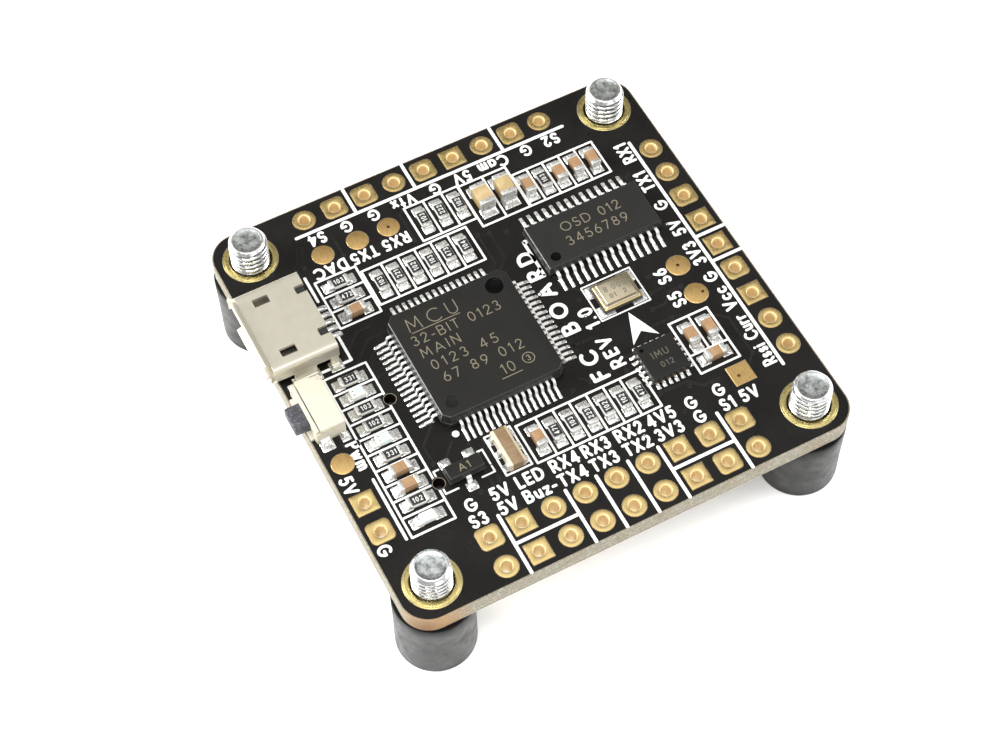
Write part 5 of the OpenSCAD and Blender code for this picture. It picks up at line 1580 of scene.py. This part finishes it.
# underside: traces, vias and the plain legend
tb = []
mirz = lambda g: g.at(0, 0, ZT + ZB - 0, mirror=True)
runs_u = [([(2.0, -9.5), (5.0, -9.5), (6.5, -8.0), (6.5, -4.5)], .3), ([(2.0, -10.4), (5.4, -10.4), (7.4, -8.4), (7.4, -4.2)], .22), ([(.9, -7.9), (2.6, -7.9), (3.6, -6.9), (3.6, -4.2)], .2), ([(.9, -5.7), (2.2, -5.7), (4.5, -3.4)], .2),
          ([(10.4, -3), (11.0, -2.4), (11.6, -2.4)], .2), ([(8.0, 7.2), (8.0, 9.0), (6.4, 10.6), (4.2, 10.6)], .4), ([(9.6, 5.5), (11.0, 5.5), (11.2, 5.3)], .5), ([(13, 4.2), (14.4, 4.2), (15, 3.6)], .4), ([(-1.6, 8.4), (2.2, 8.4)], .3),
          ([(-3.4, 8.4), (-9.0, 8.4), (-11.0, 10.4), (-11.0, 13.4)], .3), ([(-5, 13), (-5, 10.4), (-3.6, 9.0)], .22), ([(10.2, -13), (10.2, -9), (12.0, -7.2), (12.0, -3.4)], .3), ([(2.5, -1.5), (2.5, 3.5), (4.0, 5.0), (6.4, 5.0)], .25), ([(3.4, 4.2), (3.4, 6.6)], .2)]
for pts, w in runs_u:
    tb.append(strokes([pts], w / 2, ZB - .04, ZB - .024, 0, n=5))
for x, y in [(2.0, -9.5), (2.0, -10.4), (3.6, -4.2), (6.5, -4.5), (7.4, -4.2), (8, 9), (4.2, 10.6), (-11, 13.4), (-5, 13), (10.2, -9), (2.5, -1.5), (3.4, 6.6), (12, -3.4), (14.9, 3.6), (6, 1), (6.8, 1.8), (7.6, 1), (-13, 8), (-12, 6), (-9, 12), (12, 9), (13, 10), (5, -12), (7, -11), (-13.3, -13.4), (0, 12), (1, 5)]:
    tb.append(via(x, y, .22, 0).at(0, 0, ZB - .03, mirror=True))
piece("copper_traces_underside", total(tb), ["trace"])


def W2(lines, hw=.085):
    return strokes(lines, hw, ZB - .046, ZB - .022, 0)


def text_u(s, x, y, h, rot=0, r=.085, gap=.13, squeeze=.86):
    """Lettering that reads the right way round from below."""
    g = text(s, 0, 0, h, rot, r, 0, .024, 0, gap=gap, squeeze=squeeze)
    return G(g.v * np.array([-1, 1, -1]) + np.array([x, y, ZB - .022]), g.f, g.m)


su = [W2([rect(3.5, 6.9, -4.8, -1.2), [(5.2, -4.8), (5.2, -1.2)]]), W2([rect(1.4, 5.0, 7.8, 10.8), [(1.4, 9.3), (5.0, 9.3)]]), W2([rect(10.8, 13.8, -3.0, .6), [(12.3, -3.0), (12.3, .6)]]), W2([rect(10.2, 13.8, 3.4, 7.0), [(10.2, 5.2), (13.8, 5.2)]]),
      W2([rect(-4.3, -.7, 7.6, 9.2)]), W2([rect(7.4, 10.6, -4.4, -1.6)]), W2([(5.9, 4.4), (5.9, 6.6)][:1] and [[(5.9, 4.4), (5.9, 6.6)], [(10.2, 4.4), (10.2, 4.9)]]),
      W2([[(-11.4, 15.32), (11.55, 15.32)], [(-8.85, -15.38), (8.95, -15.38)], [(15.37, 11.4), (15.37, -11.5)]], .13)]
for s, x in (("G", -10.1), ("5V", -7.6), ("LED", -5.1), ("RX3", 0), ("RX2", 2.6), ("4V5", 5.1), ("G", 7.7), ("G", 10.1)):
    su.append(text_u(s, x, -12.58, .84))
for s, x in (("S4", -10), ("G", -7.55), ("G", -5.1), ("Vtx", -2.6), ("G", 0), ("5V", 2.5), ("Cam", 5.1), ("G", 7.6), ("S2", 10.13)):
    su.append(text_u(s, x, 14.45, .9))
su.append(text_u("MICRO CARD", -8.0, 4.5, 1.0, r=.1, gap=.22))
su.append(text_u("BARO", 8.6, -.75, .85))
piece("legend_underside", total(su), ["silk"])

piece("solder_lands", total(lands), ["solder"])
piece("solder_fillets", total(fillets), ["solder"])


# ---------------------------------------------------------------- rubber standoffs with studs
def thread(z0, z1, ro, ri, pitch, n=64, inside=False, fade=.25, chamf=0.0):
    """Rings of a threaded wall: a smooth V profile that runs round the axis."""
    k = int((z1 - z0) / (pitch / 12)) + 1
    rings = []
    for i in range(k + 1):
        z = z0 + (z1 - z0) * i / k
        f = min(1, (z - z0) / fade, (z1 - z) / fade)
        ring = []
        for j in range(n):
            a = 2 * math.pi * j / n
            ph = ((z / pitch) - j / n) % 1
            tri = 1 - abs(2 * ph - 1)
            d = min(1, max(0, (tri - .12) / .62))
            d = d * d * (3 - 2 * d)
            if inside:
                r = ri + (ro - ri) * d * max(0, f)
            else:
                r = ro - (ro - ri) * d * max(0, f)
                r = min(r, ro - max(0, z - (z1 - chamf)))
            ring.append((r * math.cos(a), r * math.sin(a), z))
        rings.append(ring)
    return rings


def stud_mesh(seed):
    R_ = random.Random(seed)
    n = 64
    c = lambda r, z: flat(circle(r, n), z)
    rings = [c(1.9, 5.96), c(2.17, 5.98), c(2.2, 6.02), c(2.2, 6.9), c(2.17, 6.94), c(2.1, 6.95), c(1.36, 6.95), c(1.3, 7.0), c(1.3, 8.62)]
    th = thread(8.68, 11.0, 1.475, 1.235, .5, n, chamf=.21)
    rings += th
    nb = len(rings)
    rings += [c(1.235, 11.05), c(1.2, 11.085), c(1.15, 11.1), c(1.09, 11.092)]
    prof = [(1.03, 11.072), (.96, 11.05), (.8, 11.035), (.6, 11.032), (.4, 11.03), (.2, 11.035)]
    ph = [R_.uniform(0, 6.28) for _ in range(5)]
    for r, z in prof:
        rings.append([(r * math.cos(a), r * math.sin(a), z + .014 * math.sin(a + ph[0]) * r + .006 * math.sin(2 * a + ph[1] + 3 * r) + .004 * math.sin(3 * a + ph[2] - 4 * r)) for a in [2 * math.pi * i / n for i in range(n)]])
    g = loops(rings, 0, True, True)
    g.m = [0 if i < (nb + 3) * n else 1 for i in range(len(g.f) - 2)] + [0, 1]
    # faces in the thread roots take the dark zinc: painted shade in the grooves
    for i, f in enumerate(g.f):
        vs = [g.v[k] for k in f]
        if len(f) < 5 and 8.7 < min(v[2] for v in vs) and max(v[2] for v in vs) < 10.9 and sum(math.hypot(v[0], v[1]) for v in vs) / len(vs) < 1.38:
            g.m[i] = 2
    return g


def damper_mesh(seed):
    n = 96
    prof = [(1.95, .0), (2.25, .0), (2.72, .0), (2.86, .02), (2.95, .07), (2.99, .16), (3.0, .3), (3.0, 1.0), (2.985, 2.2), (2.98, 3.3), (2.98, 3.46), (2.985, 4.6), (3.0, 5.9), (3.0, 6.62), (2.99, 6.78), (2.95, 6.87), (2.86, 6.93), (2.7, 6.95), (2.3, 6.95)]
    rings = []
    for r, z in prof:
        ring = []
        for i in range(n):
            a = 2 * math.pi * i / n
            # moulding flash along the two halves of the die
            d = min(abs((a - .6 + math.pi) % (2 * math.pi) - math.pi), abs((a - .6 - math.pi + math.pi) % (2 * math.pi) - math.pi))
            w = max(0, 1 - d / .07)
            rr = r + (.018 * w if .1 < z < 6.85 and r > 2.9 else 0)
            rr = min(rr, 3.0)
            ring.append((rr * math.cos(a), rr * math.sin(a), z))
        rings.append(ring)
    c = lambda r, z: flat(circle(r, n), z)
    inner = [c(2.21, 6.93), c(2.2, 6.9), c(2.2, 5.95), c(.6, 5.95)]
    top = loops(rings + inner, 0, False, True)
    low = loops([c(1.9, 4.12), c(1.9, .8), c(2.2, .8), c(2.2, .02), rings[0]], 0, False, False)
    # the pocket for the insert is walked from its roof down to the foot so that it faces inwards
    roof = G([(p[0], p[1], 4.12) for p in circle(1.9, n)], [tuple(range(n))[::-1]], [0])
    return weld(top + low + roof)


def insert_mesh():
    n = 64
    c = lambda r, z: flat(circle(r, n), z)
    th = thread(.25, 3.5, 1.42, 1.25, .5, n, inside=True)
    outer = [c(1.25, .0), c(1.36, .0)]
    out = [c(1.4, .0), c(2.12, .0), c(2.17, .02), c(2.19, .06), c(2.19, .74), c(2.15, .79), c(1.88, .8), c(1.88, 4.0), c(1.8, 4.1), c(.8, 4.1)]
    a = loops(out, 0, False, True)
    inn = [c(1.0, 3.62), c(1.25, 3.56)] + th[::-1] + [c(1.3, .14), c(1.4, .0)]
    b = loops(inn, 0, False, False)
    roof = G([(p[0], p[1], 3.62) for p in circle(1.0, n)], [tuple(range(n))[::-1]], [0])
    return weld(a + b + roof)


for k, (name, (x, y)) in enumerate(studs.items()):
    rz = (35, 130, 250, 300)[k]
    piece("stud_" + name, stud_mesh(k + 3).at(x, y, 0, rz), ["zinc", "zinc_end", "zinc_root_shade"], body="standoff_" + name, nodes=["stud_" + name], ang=50)
    piece("damper_" + name, damper_mesh(k).at(x, y, 0, rz), ["rubber"], body="standoff_" + name, nodes=["damper_" + name], ang=50)
    piece("insert_" + name, insert_mesh().at(x, y, 0, rz), ["zinc"], body="standoff_" + name, nodes=["insert_" + name], ang=50)

# ---------------------------------------------------------------- floor, light, camera
sc_ = bpy.context.scene
fl = M("studio_floor", (.93, .93, .93), .9, spec=.15)
fl.tint(fl.noise(120, 2), (.925, .925, .925), .4, .7, 1)
fl.bump(fl.noise(9, 3), 4)
me = bpy.data.meshes.new("floor")
S = 2.5
me.from_pydata([(-S, -S, 0), (S, -S, 0), (S, S, 0), (-S, S, 0)], [], [(0, 1, 2, 3)])
fl.b.inputs["Emission Color"].default_value = (1, 1, 1, 1)
fl.b.inputs["Emission Strength"].default_value = .30
me.materials.append(fl.m)
floor = bpy.data.objects.new("floor", me)
sc_.collection.objects.link(floor)

world = bpy.data.worlds.new("studio")
sc_.world = world
world.use_nodes = True
wn = world.node_tree
bg = wn.nodes["Background"]
wc = node(wn, "ShaderNodeTexCoord")
wsep = node(wn, "ShaderNodeSeparateXYZ")
wr = node(wn, "ShaderNodeValToRGB")
wr.color_ramp.interpolation = 'EASE'
el = wr.color_ramp.elements
el[0].position, el[0].color = 0.0, (.42, .42, .42, 1)
el[1].position, el[1].color = 1.0, (1.15, 1.15, 1.15, 1)
for p, v in ((.50, (.36, .36, .355)), (.70, (.23, .215, .19)), (.785, (.15, .13, .10)), (.82, (.36, .33, .28)), (.86, (.82, .815, .80)), (.90, (1.10, 1.13, 1.19))):
    e = el.new(p)
    e.color = (*v, 1)
wn.links.new(wc.outputs["Generated"], wsep.inputs["Vector"])
wn.links.new(wsep.outputs["Z"], wr.inputs["Fac"])
wn.links.new(wr.outputs["Color"], bg.inputs["Color"])
bg.inputs["Strength"].default_value = 1.0


def softbox(name, loc, target, sx, sy, power, color=(1, 1, 1)):
    l = bpy.data.lights.new(name, "AREA")
    l.shape = "RECTANGLE"
    l.size, l.size_y = sx, sy
    l.energy = power
    l.color = color
    o = bpy.data.objects.new(name, l)
    sc_.collection.objects.link(o)
    o.location = loc
    o.rotation_euler = (Vector(target) - Vector(loc)).to_track_quat('-Z', 'Y').to_euler()
    return o


softbox("left", (-.37, .22, .20), (0, 0, .008), .28, .26, 2.8)
softbox("right", (.42, -.20, .15), (0, 0, .008), .24, .20, 1.7)
softbox("top", (-.13, -.11, .58), (0, 0, .008), .26, .26, 2.6)
softbox("front", (.06, -.45, .26), (0, 0, .008), .30, .20, .25)

cam = bpy.data.cameras.new("camera")
cam.sensor_fit = 'HORIZONTAL'
cam.sensor_width = 36
cam.lens = 78.47
cam.clip_start, cam.clip_end = .01, 20
co = bpy.data.objects.new("camera", cam)
sc_.collection.objects.link(co)
rv = Vector((2.52304843, -0.62372243, 0.16373434))
Rm = Matrix.Rotation(rv.length, 3, rv.normalized())
T = Vector((1.89572711, -2.96380997, 160.409132))
C = -(Rm.transposed() @ T)
mw = Matrix((Rm[0], -Rm[1], -Rm[2])).transposed().to_4x4()
mw.translation = Vector((C.x, C.y, C.z + ZT)) * 1e-3
co.matrix_world = mw
sc_.camera = co
sc_.view_settings.view_transform = 'Standard'
sc_.view_settings.look = 'None'
sc_.view_settings.exposure = 0
sc_.view_settings.gamma = 1
